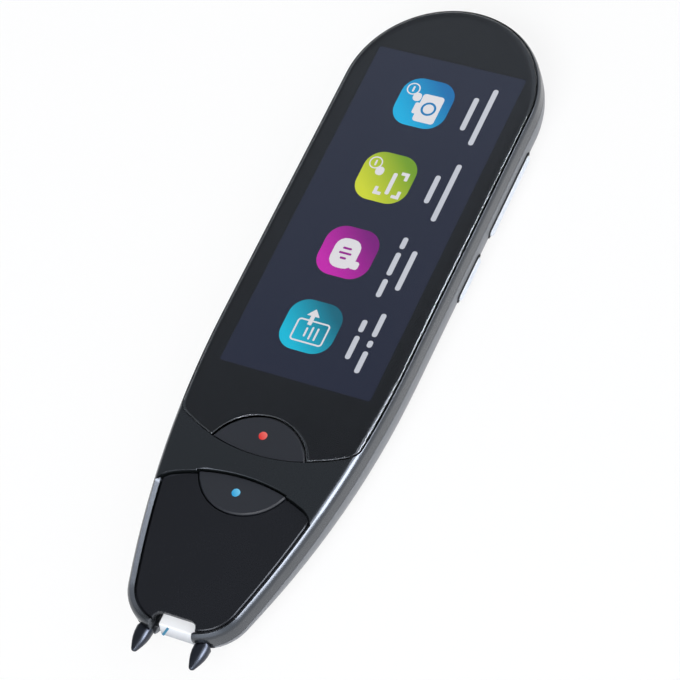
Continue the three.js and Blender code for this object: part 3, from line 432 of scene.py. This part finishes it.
def sheet_metal(name, color, roughness, shift=0.12, spread=0.2, bump=0.2):
    """A bright metal with rolled lines along its length."""
    values = {"Roughness": roughness, "Roughness Spread": spread}
    return new_finish(name, brushed, color, shift, values, bump, metallic=1.0)


# %% Finishes of the outside
cool_sheen = (0.86, 0.91, 1, 1)
blue_sheen = (0.79, 0.86, 1, 1)
frame_paint = moulded(
    "dark_frame_paint", (0.0035, 0.0045, 0.0045), 0.27, size=0.18, spread=0.06, bump=0.05,
    coat=0.2, coat_rough=0.2, ior=1.8, sheen=blue_sheen)
cover_black = moulded(
    "nose_cover_black", (0.009, 0.0095, 0.012), 0.26, size=0.3, bump=0.1, sheen=cool_sheen)
key_black = moulded("key_soft_black", (0.016, 0.018, 0.024), 0.42, size=0.22)
shell_grey = moulded(
    "rear_shell_grey", (0.16, 0.165, 0.18), 0.36, size=0.2, bump=0.15, coat=0.1,
    sheen=blue_sheen)
key_silver = moulded("side_key_pale", (0.74, 0.78, 0.84), 0.3, size=0.15, shift=0.03)
fork_dark = moulded(
    "fork_dark", (0.052, 0.058, 0.074), 0.34, size=0.2, bump=0.1, metallic=1.0)
window_white = moulded("window_white", (0.94, 0.94, 0.95), 0.42, size=0.4, shift=0.02)
# Painted shade: this black stands for the shadow in the gaps round the side keys.
gap_shade_black = moulded("gap_shade_black", (0.006, 0.006, 0.007), 0.6, size=0.3)
print("outside finishes made")

# %% Finishes of the inside
film_black = moulded("border_film", (0.003, 0.0035, 0.005), 0.5, bump=0.0, specular=0.0)
board_green = moulded("board_green", (0.02, 0.11, 0.055), 0.4, size=0.9, shift=0.35)
plastic_black = moulded("inner_plastic", (0.014, 0.014, 0.015), 0.45)
foil_grey = moulded("battery_foil", (0.42, 0.44, 0.47), 0.35, size=1.4, metallic=0.6, bump=0.6)
steel_sheet = sheet_metal("steel_sheet", (0.55, 0.56, 0.58), 0.3)
lens_blue = moulded(
    "lens_blue", (0.01, 0.02, 0.05), 0.06, shift=0.3, spread=0.02, bump=0.02, coat=1.0)
panel_dark = moulded("panel_dark", (0.012, 0.013, 0.02), 0.3)
print("inside finishes made")

# %% [markdown]
# ## Cover glass
#
# The long cover is clear glass over a printed black border, and the picture lies under it. So the
# glass is real glass, with full transmission, and the black comes from the border film that the
# model has under it. Hands leave the faintest blotches of roughness on it.

# %% Glass
clear_tint = (0.97, 0.98, 0.98, 1)
marked_tint = (0.93, 0.94, 0.95, 1)

cover_clear, glass_tree, glass_shader = new_material("cover_clear")
glass_place = add_node(glass_tree, "ShaderNodeTexCoord")
glass_marks = add_node(glass_tree, "ShaderNodeGroup", {
    "Vector": glass_place.outputs["Object"],
    "Roughness": 0.0,
    "Mark Roughness": 0.02,
    "Mark Share": 1.0,
}, node_tree=marks)
feed(glass_tree, glass_shader, {
    "Transmission Weight": 1.0,
    "IOR": 1.52,
    "Specular Tint": cool_sheen,
    "Roughness": glass_marks.outputs["Roughness"],
    "Base Color": tone_mix(glass_tree, glass_marks.outputs["Mask"], clear_tint, marked_tint),
})
print("glass finish:", len(glass_tree.nodes), "nodes")

# %% [markdown]
# ## Lit finishes
#
# The picture on the display and the two lamps in the front keys shine by themselves. A tile of the
# menu runs from one colour to another across its diagonal, so the shared group here measures how
# far a point lies along that diagonal. Each lit finish gives its own middle, its reach and its two
# colours. None of them mirrors the room, because the glass over the picture does that already.

# %% Diagonal blend group
diagonal, diagonal_in, diagonal_out = new_group(
    "tile_diagonal",
    [("Vector", VECTOR), ("Low Color", COLOR), ("High Color", COLOR)],
    [("Color", COLOR)],
)
diagonal_axes = add_node(diagonal, "ShaderNodeSeparateXYZ", {0: diagonal_in["Vector"]}).outputs
diagonal_sum = math_node(diagonal, "ADD", diagonal_axes["X"], diagonal_axes["Y"])
diagonal_shift = math_node(diagonal, "ADD", diagonal_sum, 1.0)
diagonal_clamp = add_node(
    diagonal, "ShaderNodeClamp", {"Value": math_node(diagonal, "MULTIPLY", diagonal_shift, 0.5)})
feed(diagonal, diagonal_out, {"Color": tone_mix(
    diagonal, diagonal_clamp.outputs[0], diagonal_in["Low Color"], diagonal_in["High Color"])})
print("shared group:", diagonal.name)

# %% Lit finish makers
unlit_black = (0.002, 0.002, 0.002, 1)
even_reach = 60 * MM


def lit_finish(name, low, high, middle, reach, strength=1.0):
    """A screen colour that blends across a piece, from its low corner to its high corner."""
    material, tree, shader = new_material(name)
    place = add_node(tree, "ShaderNodeTexCoord")
    centre = add_node(tree, "ShaderNodeMapping", {
        "Vector": place.outputs["Object"],
        "Location": middle,
        "Scale": (reach, reach, reach),
    }, vector_type="TEXTURE")
    blend = add_node(tree, "ShaderNodeGroup", {
        "Vector": centre.outputs[0],
        "Low Color": low + (1,),
        "High Color": high + (1,),
    }, node_tree=diagonal)
    feed(tree, shader, {
        "Base Color": unlit_black,
        "Roughness": 0.5,
        "Specular IOR Level": 0.0,
        "Emission Strength": strength,
        "Emission Color": blend.outputs["Color"],
    })
    return material


def even_finish(name, low, high):
    """A screen colour that changes little over the whole display."""
    return lit_finish(name, low, high, (0, 0, 0), even_reach)


# %% [markdown]
# ## Finer surfaces from the measured solids
#
# The measured solids are made of flat facets with knife edges. A real moulding has soft edges that
# catch the light. Each visible solid is copied, its loose triangles are welded, and a narrow bevel
# is cut on its hard edges. The copy is shaded smooth except at the edges that stay hard, and it
# stands in for the solid in the same place.

# %% Working on one piece
X, Z = 0, 2
facing = 0.9


def take(piece):
    """Selects only this piece and makes it the active one."""
    bpy.ops.object.select_all(action="DESELECT")
    piece.select_set(True)
    bpy.context.view_layer.objects.active = piece


def work_on(piece):
    """Opens one piece in edit mode."""
    take(piece)
    bpy.ops.object.mode_set(mode="EDIT")
    return bmesh.from_edit_mesh(piece.data)


def pick(form, kind, wanted):
    """Selects the edges or the faces that pass a test, and returns how many there are."""
    bpy.ops.mesh.select_mode(type=kind)
    bpy.ops.mesh.select_all(action="DESELECT")
    picked = [item for item in (form.edges if kind == "EDGE" else form.faces) if wanted(item)]
    for item in picked:
        item.select_set(True)
    bmesh.update_edit_mesh(bpy.context.object.data)
    return len(picked)


def span(edge, axis):
    """How far an edge reaches along an axis."""
    return abs((edge.verts[0].co - edge.verts[1].co)[axis])


def settle(piece):
    """Leaves edit mode and puts the piece's place, turn and size in its mesh."""
    bpy.ops.object.mode_set(mode="OBJECT")
    bpy.ops.object.transform_apply(location=True, rotation=True, scale=True)
    return piece


def fresh_piece(name):
    """Names the primitive that was just added, and puts its place, turn and size in its mesh."""
    piece = bpy.context.object
    piece.name = name
    bpy.ops.object.transform_apply(location=True, rotation=True, scale=True)
    return piece


def hollow(piece, axis, wall):
    """Insets both ends of a piece along an axis and joins them through it, so a ring is left."""
    form = bmesh.from_edit_mesh(piece.data)
    pick(form, "FACE", lambda face: abs(face.normal[axis]) > facing)
    bpy.ops.mesh.inset(thickness=wall)
    bpy.ops.mesh.bridge_edge_loops()


# %% Copying a solid and finishing it
weld_distance = 0.002 * MM
flat_enough = math.radians(0.4)


def use_modifier(piece, kind, **values):
    """Adds a modifier, sets it and applies it at once."""
    take(piece)
    bpy.ops.object.modifier_add(type=kind)
    modifier = piece.modifiers[-1]
    for name, value in values.items():
        setattr(modifier, name, value)
    bpy.ops.object.modifier_apply(modifier=modifier.name)


def smooth_by_angle(piece, degrees):
    """Shades a piece smooth, except over the edges that turn by more than an angle."""
    take(piece)
    bpy.ops.object.shade_smooth_by_angle(angle=math.radians(degrees))


def welded_copy(node, name):
    """A copy of a measured solid with its loose triangles joined and its flat areas cleaned."""
    mesh = nodes[node].data.copy()
    piece = bpy.data.objects.new(name, mesh)
    bpy.context.scene.collection.objects.link(piece)
    mesh.materials.clear()
    work_on(piece)
    bpy.ops.mesh.select_all(action="SELECT")
    bpy.ops.mesh.remove_doubles(threshold=weld_distance)
    bpy.ops.mesh.dissolve_limited(angle_limit=flat_enough)
    bpy.ops.object.mode_set(mode="OBJECT")
    bpy.ops.mesh.customdata_custom_splitnormals_clear()
    return piece


def dress(piece, body, material, node=None):
    """Gives a piece its finish, and lets it ride on a body and stand for a solid."""
    piece.data.materials.clear()
    piece.data.materials.append(material)
    if node:
        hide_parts(node)
    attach(piece, body)
    return piece


def soften(node, body, material, width, degrees=35, steps=2, prepare=None):
    """A welded copy with its hard edges bevelled by a width in millimetres."""
    piece = welded_copy(node, node + "_dressed")
    if prepare:
        print(node, "prepared:", prepare(piece))
    use_modifier(
        piece, "BEVEL", width=width * MM, segments=steps, limit_method="ANGLE",
        angle_limit=math.radians(degrees), use_clamp_overlap=True)
    smooth_by_angle(piece, degrees)
    use_modifier(piece, "WEIGHTED_NORMAL", keep_sharp=True, weight=100)
    dress(piece, body, material, node)
    print(piece.name, "faces:", len(piece.data.polygons))


# %% [markdown]
# ## Two pieces that need more than a bevel
#
# The glass lies flat on the piece under it. Two faces in one plane can't be told apart by a
# renderer, so the underside of the glass is raised a hair. The bridge of the frame between the
# front keys has a rounder upper edge than the rest, so that edge is picked by its place and
# rounded before the fine bevel.

# %% Underside of the glass and edges of the bridge
glass_lift = 0.02 * MM
crest_depth = 0.02 * MM
bridge_front_y = -44.5 * MM
bridge_back_y = -38 * MM
bridge_half = 10 * MM
bridge_turn = math.radians(60)
bridge_rounds = (
    # over the lower key or beside it, width, steps
    (True, 0.3 * MM, 5),
    (False, 0.1 * MM, 2),
)


def lift_underside(piece):
    """Raises the lowest flat of a piece, and returns how many faces it has."""
    form = work_on(piece)
    lowest = min(vertex.co.z for vertex in form.verts)
    raised = pick(form, "FACE", lambda face: all(
        vertex.co.z < lowest + glass_lift for vertex in face.verts))
    bpy.ops.transform.translate(value=(0, 0, glass_lift))
    bpy.ops.object.mode_set(mode="OBJECT")
    return raised


def round_bridge(piece):
    """Rounds the upper edges of the bridge, and returns how many there are in each part."""
    crest = max(vertex.co.z for vertex in piece.data.vertices) - crest_depth
    found = []
    for inner, width, steps in bridge_rounds:
        form = work_on(piece)
        found.append(pick(form, "EDGE", lambda edge: (
            all(vertex.co.z > crest for vertex in edge.verts)
            and all(bridge_front_y < vertex.co.y < bridge_back_y for vertex in edge.verts)
            and all((abs(vertex.co.x) < bridge_half) == inner for vertex in edge.verts)
            and edge.calc_face_angle(0) > bridge_turn)))
        bpy.ops.mesh.bevel(offset=width, segments=steps, affect="EDGES", clamp_overlap=False)
        bpy.ops.object.mode_set(mode="OBJECT")
    return found


# %% Outer pieces
housing = "housing"
soften(
    "cover_glass", housing, cover_clear, width=0.2, degrees=40, steps=4,
    prepare=lift_underside)
soften("front_frame", housing, frame_paint, width=0.06, prepare=round_bridge)
soften("nose_cover", housing, cover_black, width=0.1, steps=3)
soften("rear_cover", housing, shell_grey, width=0.06)
for key in ("upper_key", "lower_key"):
    soften(key, key, key_black, width=0.12, steps=3)
for key in ("volume_rocker", "power_key"):
    soften(key, key, key_silver, width=0.08)
soften("contact_fork", "contact_fork", fork_dark, width=0.08, degrees=50)
soften("scan_window", housing, window_white, width=0.3, degrees=30, steps=4)

# %% [markdown]
# ## Painted shade on the scan window
#
# The window is a milky block. Its tone is multiplied by a ramp that runs up the block's height:
# painted shade that keeps the top white and darkens the front towards the lower edge.

# %% Painted shade on the window
foot_shade = (0.34, 0.35, 0.37, 1)
shoulder_shade = (0.7, 0.71, 0.73, 1)
shoulder_share = 0.92

window_low, window_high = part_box("scan_window")
window_tree = window_white.node_tree
window_shader = window_tree.nodes["Principled BSDF"]
window_tone = window_shader.inputs["Base Color"].links[0].from_socket
window_place = add_node(window_tree, "ShaderNodeTexCoord")
window_axes = add_node(window_tree, "ShaderNodeSeparateXYZ", {0: window_place.outputs["Object"]})
window_rise = add_node(window_tree, "ShaderNodeMapRange", {
    "Value": window_axes.outputs["Z"],
    "From Min": window_low.z,
    "From Max": window_high.z,
})
# The ramp paints shade on the window, darkest at its foot.
painted_shade_ramp = add_node(
    window_tree, "ShaderNodeValToRGB", {"Fac": window_rise.outputs["Result"]})
shades = painted_shade_ramp.color_ramp.elements
shades[0].color = foot_shade
shades[1].color = pure_white
shades.new(shoulder_share).color = shoulder_shade
feed(window_tree, window_shader, {"Base Color": tone_mix(
    window_tree, 1, window_tone, painted_shade_ramp.outputs["Color"], blend_type="MULTIPLY")})
print("window from", round(window_low.z / MM, 2), "to", round(window_high.z / MM, 2), "mm high")

# %% [markdown]
# ## Painted shade round the side keys
#
# A black ring fills the gap between each side key and its slot. It is painted shade: it stands
# for the shadow in that gap, and its rim stands a little proud of the shell. Each one starts as a
# cube with the rim's outline. The edges that run into the shell are rounded, both ends are inset
# and joined through, and then the outer end is turned to lean with the shell's side.

# %% Shade ring maker
shade_ring_wall = 0.3 * MM
shade_ring_depth = 1.4 * MM
shade_ring_across = 2.8 * MM
room_along = 1.3 * MM
round_share = 0.48
key_middle_z = 3.9 * MM
rim_x = 21.56 * MM
shell_lean = math.radians(17)


def key_shade_ring(node, key_long):
    """The black ring of painted shade round a side key of a given length."""
    low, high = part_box(node)
    rim = Vector((rim_x, (low.y + high.y) / 2, key_middle_z))
    half_depth = shade_ring_depth / 2
    bpy.ops.mesh.primitive_cube_add(
        size=1, location=rim - Vector((half_depth, 0, 0)),
        scale=(shade_ring_depth, key_long + room_along, shade_ring_across))
    piece = fresh_piece(node + "_shade_ring")
    pick(work_on(piece), "EDGE", lambda edge: span(edge, X) > half_depth)
    bpy.ops.mesh.bevel(offset=shade_ring_across * round_share, segments=8, affect="EDGES")
    hollow(piece, X, shade_ring_wall)
    form = bmesh.from_edit_mesh(piece.data)
    pick(form, "FACE", lambda face: all(
        vertex.co.x > rim.x - half_depth for vertex in face.verts))
    bpy.ops.transform.rotate(value=-shell_lean, orient_axis="Y", center_override=rim)
    settle(piece)
    smooth_by_angle(piece, 40)
    top = max(piece.data.vertices, key=lambda vertex: vertex.co.x).co
    print(piece.name, "outermost at x, z:", round(top.x / MM, 2), round(top.z / MM, 2))
    return dress(piece, housing, gap_shade_black)


# %% Shade rings
for node, key_long in (("volume_rocker", 20.4 * MM), ("power_key", 10.5 * MM)):
    key_shade_ring(node, key_long)

# %% [markdown]
# ## Lamps in the front keys
#
# A small coloured light pipe ends flush in each front key. Its finish glows, with a painted
# highlight that makes it a little lighter towards one corner. It takes no highlight from the room,
# so the colour stays full from all sides.

# %% Lamps in the front keys
dot_reach = 1.2 * MM
dot_strength = 0.85
# The second colour of each dot is its painted highlight, lighter towards one corner.
key_dots = [
    ("upper_key_dot", "upper_key", "red_light", (0.8, 0.04, 0.04), (1.0, 0.2, 0.18)),
    ("lower_key_dot", "lower_key", "blue_light", (0.03, 0.4, 0.78), (0.2, 0.65, 0.95)),
]
for node, body, slot, low, high in key_dots:
    corner_low, corner_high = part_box(node)
    middle = (corner_low + corner_high) / 2
    glow = lit_finish(node + "_glow", low, high, middle, dot_reach, dot_strength)
    dot = welded_copy(node, node + "_dressed")
    smooth_by_angle(dot, 40)
    dress(dot, body, glow, node)
    print(dot.name, "at", [round(value / MM, 1) for value in middle])

# %% [markdown]
# ## Inner pieces
#
# The inner pieces show only through the window, the grille and the port, but each has its own
# finish. Their shapes stay as measured, so only their material slots change.

# %% Inner finishes
screws = [name for name in nodes if "_screw_" in name]
inner_finishes = [
    (film_black, ["glass_gasket", "speaker_mesh"]),
    (panel_dark, ["display_panel"]),
    (lens_blue, ["scan_camera_lens"]),
    (window_white, ["scan_light_left", "scan_light_right"]),
    (foil_grey, ["battery"]),
    (board_green, ["main_board", "usb_board", "side_key_board"]),
    (steel_sheet, [
        "display_bracket", "processor_shield", "carrier_plate", "usb_port_shell", "microphone",
        *screws]),
    (plastic_black, [
        "scan_camera", "speaker", "usb_port_tongue", "upper_key_switch", "lower_key_switch",
        "contact_switch", "volume_up_switch", "volume_down_switch", "power_switch"]),
]
for material, names in inner_finishes:
    for name in names:
        mesh = nodes[name].data
        mesh.materials.clear()
        mesh.materials.append(material)
print("inner pieces finished:", sum(len(names) for _, names in inner_finishes))

# %% [markdown]
# ## The picture under the glass
#
# The display shows a menu: a slate-blue ground and four rounded tiles, each with a plain white sign
# and two lines of bars where its caption goes. They are thin plates in the 0.2 mm between the panel
# and the glass. A rounded plate starts as a cube whose upright edges are bevelled, so its corner
# radius is exact.

# %% Levels of the picture
panel_low, panel_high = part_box("display_panel")
picture_x = 0.0
picture_half = 17.2 * MM
picture_low_y = panel_low.y + 3 * MM
picture_high_y = panel_high.y - 1.2 * MM
picture_y = (picture_low_y + picture_high_y) / 2
plate_thickness = 0.04 * MM
plate_gap = 0.005 * MM
ground_low = panel_high.z + 0.01 * MM
ground_high = ground_low + plate_thickness
tile_high = ground_high + plate_thickness
sign_high = tile_high + plate_thickness
print("picture length:", round((picture_high_y - picture_low_y) / MM, 2), "mm")

# %% Plate makers
widest_corner = 0.499


def rounded_plate(name, x, y, width, length, low, high, corner, steps=6):
    """A plate with upright rounded corners, from a cube with bevelled edges."""
    bpy.ops.mesh.primitive_cube_add(
        size=1, location=(x, y, (low + high) / 2), scale=(width, length, high - low))
    piece = fresh_piece(name)
    pick(work_on(piece), "EDGE", lambda edge: span(edge, Z) > (high - low) / 2)
    radius = min(corner, min(width, length) * widest_corner)
    bpy.ops.mesh.bevel(offset=radius, segments=steps, affect="EDGES")
    return settle(piece)


def ring_plate(name, x, y, radius, thickness, low, high):
    """A flat ring, from a cylinder whose caps are inset and bridged."""
    bpy.ops.mesh.primitive_cylinder_add(
        vertices=32, radius=radius, depth=high - low, location=(x, y, (low + high) / 2))
    piece = fresh_piece(name)
    work_on(piece)
    hollow(piece, Z, thickness)
    return settle(piece)


# %% Picture ground
ground_margin = 0.1 * MM
ground_corner = 0.5 * MM
ground_reach = 40 * MM

ground = rounded_plate(
    "picture_ground", picture_x, picture_y, 2 * picture_half - ground_margin,
    picture_high_y - picture_low_y - ground_margin, ground_low, ground_high, ground_corner)
ground_slate = lit_finish(
    "picture_slate", (0.009, 0.0125, 0.033), (0.011, 0.0145, 0.036), (picture_x, picture_y, 0),
    ground_reach)
dress(ground, housing, ground_slate)
print(ground.name, "faces:", len(ground.data.polygons))

# %% Tiles
tile_size = 12.0 * MM
tile_corner = 4.1 * MM
tile_reach = 7.5 * MM
picture_top = picture_high_y / MM
camera_tile = (-1.8, picture_top - 11.3)
frame_tile = (-1.9, picture_top - 30.7)
speech_tile = (-2.05, picture_top - 49.8)
page_tile = (-2.0, picture_top - 68.3)
tiles = [
    ("tile_camera", camera_tile, (0.0, 0.44, 0.78), (0.0, 0.16, 0.44)),
    ("tile_frame", frame_tile, (0.66, 0.72, 0.03), (0.17, 0.35, 0.01)),
    ("tile_speech", speech_tile, (0.56, 0.01, 0.42), (0.2, 0.0, 0.2)),
    ("tile_page", page_tile, (0.0, 0.5, 0.72), (0.0, 0.13, 0.2)),
]
for name, centre, low, high in tiles:
    x, y = centre[0] * MM, centre[1] * MM
    tile = rounded_plate(
        name, x, y, tile_size, tile_size, ground_high + plate_gap, tile_high, tile_corner,
        steps=10)
    finish = lit_finish(name + "_blend", low, high, (x, y, 0), tile_reach)
    dress(tile, housing, finish)
print("tiles:", len(tiles))

# %% [markdown]
# ## Signs on the tiles
#
# The signs are plain: a camera, a scanning frame, a speech bubble and a page. They read from the
# right side of the pen, as the menu does, so their up is towards the left of the display. Each part
# of a sign is given in the sign's own millimetres, right and up, and turned on to the display here.
# A part that crosses another can stand on a higher level, so that their tops don't share a plane.

# %% Sign maker
sign_white = even_finish("sign_white", (0.74, 0.72, 0.76), (0.8, 0.78, 0.82))
level_step = 0.02 * MM
arrow_rise = 0.015 * MM
arrow_thickness = 0.03 * MM
arrow_corner = 0.15 * MM
unit_triangle_radius = 0.577


def on_display(centre, right, up):
    """Turns a place in a sign into a place on the display."""
    return (centre[0] - up) * MM, (centre[1] + right) * MM


def sign_bar(name, centre, right, up, wide, high, corner, level=0, material=sign_white):
    """A bar with rounded corners, on a given level."""
    x, y = on_display(centre, right, up)
    lift = level * level_step
    bar = rounded_plate(
        name, x, y, high * MM, wide * MM, tile_high + plate_gap + lift, sign_high + lift,
        corner * MM, steps=4)
    return dress(bar, housing, material)


def sign_ring(name, centre, right, up, radius, thickness, material=sign_white):
    """A flat ring that stands above the bars of the lowest level."""
    x, y = on_display(centre, right, up)
    ring = ring_plate(
        name, x, y, radius * MM, thickness * MM, sign_high + plate_gap, sign_high + level_step)
    return dress(ring, housing, material)


def sign_arrow(name, centre, right, up, wide, high):
    """A triangle that points to the sign's right, from a cylinder with three sides."""
    x, y = on_display(centre, right, up)
    bpy.ops.mesh.primitive_cylinder_add(
        vertices=3, radius=unit_triangle_radius, depth=1,
        location=(x, y, (tile_high + sign_high) / 2 + arrow_rise),
        scale=(high * MM, wide * MM, arrow_thickness))
    piece = fresh_piece(name)
    pick(work_on(piece), "EDGE", lambda edge: span(edge, Z) > arrow_thickness / 2)
    bpy.ops.mesh.bevel(offset=arrow_corner, segments=3, affect="EDGES")
    return dress(settle(piece), housing, sign_white)


def badge(name, centre):
    """A ring with a bar in it, and a small bubble that touches the sign below."""
    right, up = 2.9, 3.6
    sign_ring(name + "_badge", centre, right, up, 1.5, 0.28)
    sign_bar(name + "_badge_bar", centre, right, up, 1.4, 0.4, 0.18)
    sign_bar(name + "_bubble", centre, 1.2, 2.0, 2.1, 1.9, 0.85)


# %% Camera sign
body_right, body_up = -1.1, -1.6
ring_blue = even_finish("ring_blue", (0.0, 0.2, 0.5), (0.0, 0.2, 0.5))
badge("camera", camera_tile)
sign_bar("camera_body", camera_tile, body_right, body_up, 7.0, 4.9, 0.7)
sign_bar("camera_hump", camera_tile, -1.5, 1.1, 2.8, 1.2, 0.4)
sign_ring("camera_ring", camera_tile, body_right, body_up, 1.7, 0.5, ring_blue)
print("camera sign made")

# %% Frame sign
frame_right, frame_up = -1.1, -1.7
# The badge takes the place of the fourth corner.
frame_corners = [("left_low", -1, -1), ("left_high", -1, 1), ("right_low", 1, -1)]
badge("frame", frame_tile)
for label, side, end in frame_corners:
    sign_bar(
        "frame_flat_" + label, frame_tile, frame_right + side * 2.3, frame_up + end * 2.6, 1.9,
        0.75, 0.15)
    sign_bar(
        "frame_upright_" + label, frame_tile, frame_right + side * 2.9, frame_up + end * 2.1,
        0.75, 1.8, 0.15, level=1)
sign_bar("frame_line", frame_tile, frame_right, frame_up, 5.4, 0.9, 0.3)
print("frame sign made, corners:", len(frame_corners))

# %% Speech sign
wave_heights = (1.4, 2.8, 2.0)
wave_pitch = 1.2
bubble_plum = even_finish("bubble_plum", (0.32, 0.0, 0.28), (0.32, 0.0, 0.28))
sign_bar("speech_bubble", speech_tile, -0.4, 0.4, 7.2, 5.8, 2.3)
sign_bar("speech_tail", speech_tile, -2.6, -2.6, 1.9, 2.0, 0.6, level=1)
for index, tall in enumerate(wave_heights):
    sign_bar(
        "speech_wave_%d" % (index + 1), speech_tile, -1.6 + wave_pitch * index, 0.4, 0.5, tall,
        0.22, level=2, material=bubble_plum)
print("speech sign made, waves:", len(wave_heights))

# %% Page sign
page_across = 7.4 * MM
page_along = 5.4 * MM
page_corner = 0.8 * MM
page_wall = 0.35 * MM
page_lines = [(0.5, 2.2), (-0.7, 3.0), (-1.9, 3.0)]

page_x, page_y = on_display(page_tile, -1.3, -0.4)
page = rounded_plate(
    "page_outline", page_x, page_y, page_across, page_along, tile_high + plate_gap, sign_high,
    page_corner)
work_on(page)
hollow(page, Z, page_wall)
dress(settle(page), housing, sign_white)
for index, (up, wide) in enumerate(page_lines):
    sign_bar("page_line_%d" % (index + 1), page_tile, -1.5, up, wide, 0.4, 0.18)
sign_bar("page_arrow_stem", page_tile, 1.3, 0.5, 2.2, 0.9, 0.2, level=1)
sign_arrow("page_arrow_head", page_tile, 2.9, 0.5, 2.0, 2.9)
print("page sign made, lines:", len(page_lines))

# %% [markdown]
# ## Captions
#
# Every tile has two lines beside it. Each line is a row of plain bars with small gaps, and it is
# centred beside its tile, so its start is worked out from the lengths of its bars.

# %% Caption bars
caption_white = even_finish("caption_white", (0.55, 0.57, 0.64), (0.6, 0.62, 0.69))
bar_gap = 1.0
line_pitch = 3.2
bar_height = 1.15 * MM
bar_corner = 0.5 * MM
captions = [
    # tile, place across and along from its centre, bar lengths of each line
    (camera_tile, 10.6, 0.1, [8.4], [14.4]),
    (frame_tile, 10.7, 0.0, [7.0], [14.4]),
    (speech_tile, 10.5, -0.7, [4.4, 5.6, 2.8], [9.7]),
    (page_tile, 10.4, -0.1, [5.6, 2.9], [5.2, 1.6, 5.6]),
]
bars = 0
for index, (centre, across, along, *lines) in enumerate(captions):
    for line, lengths in enumerate(lines):
        start = centre[1] + along - (sum(lengths) + bar_gap * (len(lengths) - 1)) / 2
        for length in lengths:
            bars += 1
            bar = rounded_plate(
                "caption_%d_%d" % (index + 1, bars), (centre[0] + across + line_pitch * line) * MM,
                (start + length / 2) * MM, bar_height, length * MM, ground_high + plate_gap,
                tile_high, bar_corner, steps=4)
            dress(bar, housing, caption_white)
            start += length + bar_gap
print("caption bars:", bars)

# %% [markdown]
# ## Aiming mark on the window
#
# A short blue line on the front of the white window shows where the pen reads. It is a thin bar
# that stands a hair proud of the sloped front and leans a little towards the left on it.

# %% Aiming mark
slope_run = 0.8 * MM
mark_left = -2.5 * MM
mark_proud = -0.08 * MM
mark_size = (0.5 * MM, 0.16 * MM, 3.1 * MM)
mark_turn = math.radians(32)
mark_bevel = 0.02 * MM
sharp_turn = 1

slope_low = Vector((0, window_low.y, window_low.z))
slope_high = Vector((0, window_low.y + slope_run, window_high.z))
slope = (slope_high - slope_low).normalized()
mark_middle = slope_low.lerp(slope_high, 0.5) + Vector((mark_left, mark_proud, 0))
lean = math.atan2(slope.y, slope.z)
bpy.ops.mesh.primitive_cube_add(
    size=1, location=mark_middle, rotation=(-lean, mark_turn, 0), scale=mark_size)
mark = fresh_piece("aiming_mark")
pick(work_on(mark), "EDGE", lambda edge: edge.calc_face_angle(0) > sharp_turn)
bpy.ops.mesh.bevel(offset=mark_bevel, segments=2, affect="EDGES")
mark_blue = moulded("aiming_blue", (0.005, 0.15, 0.26), 0.35, size=0.3)
dress(settle(mark), housing, mark_blue)
print("aiming mark at", [round(value / MM, 2) for value in mark_middle])
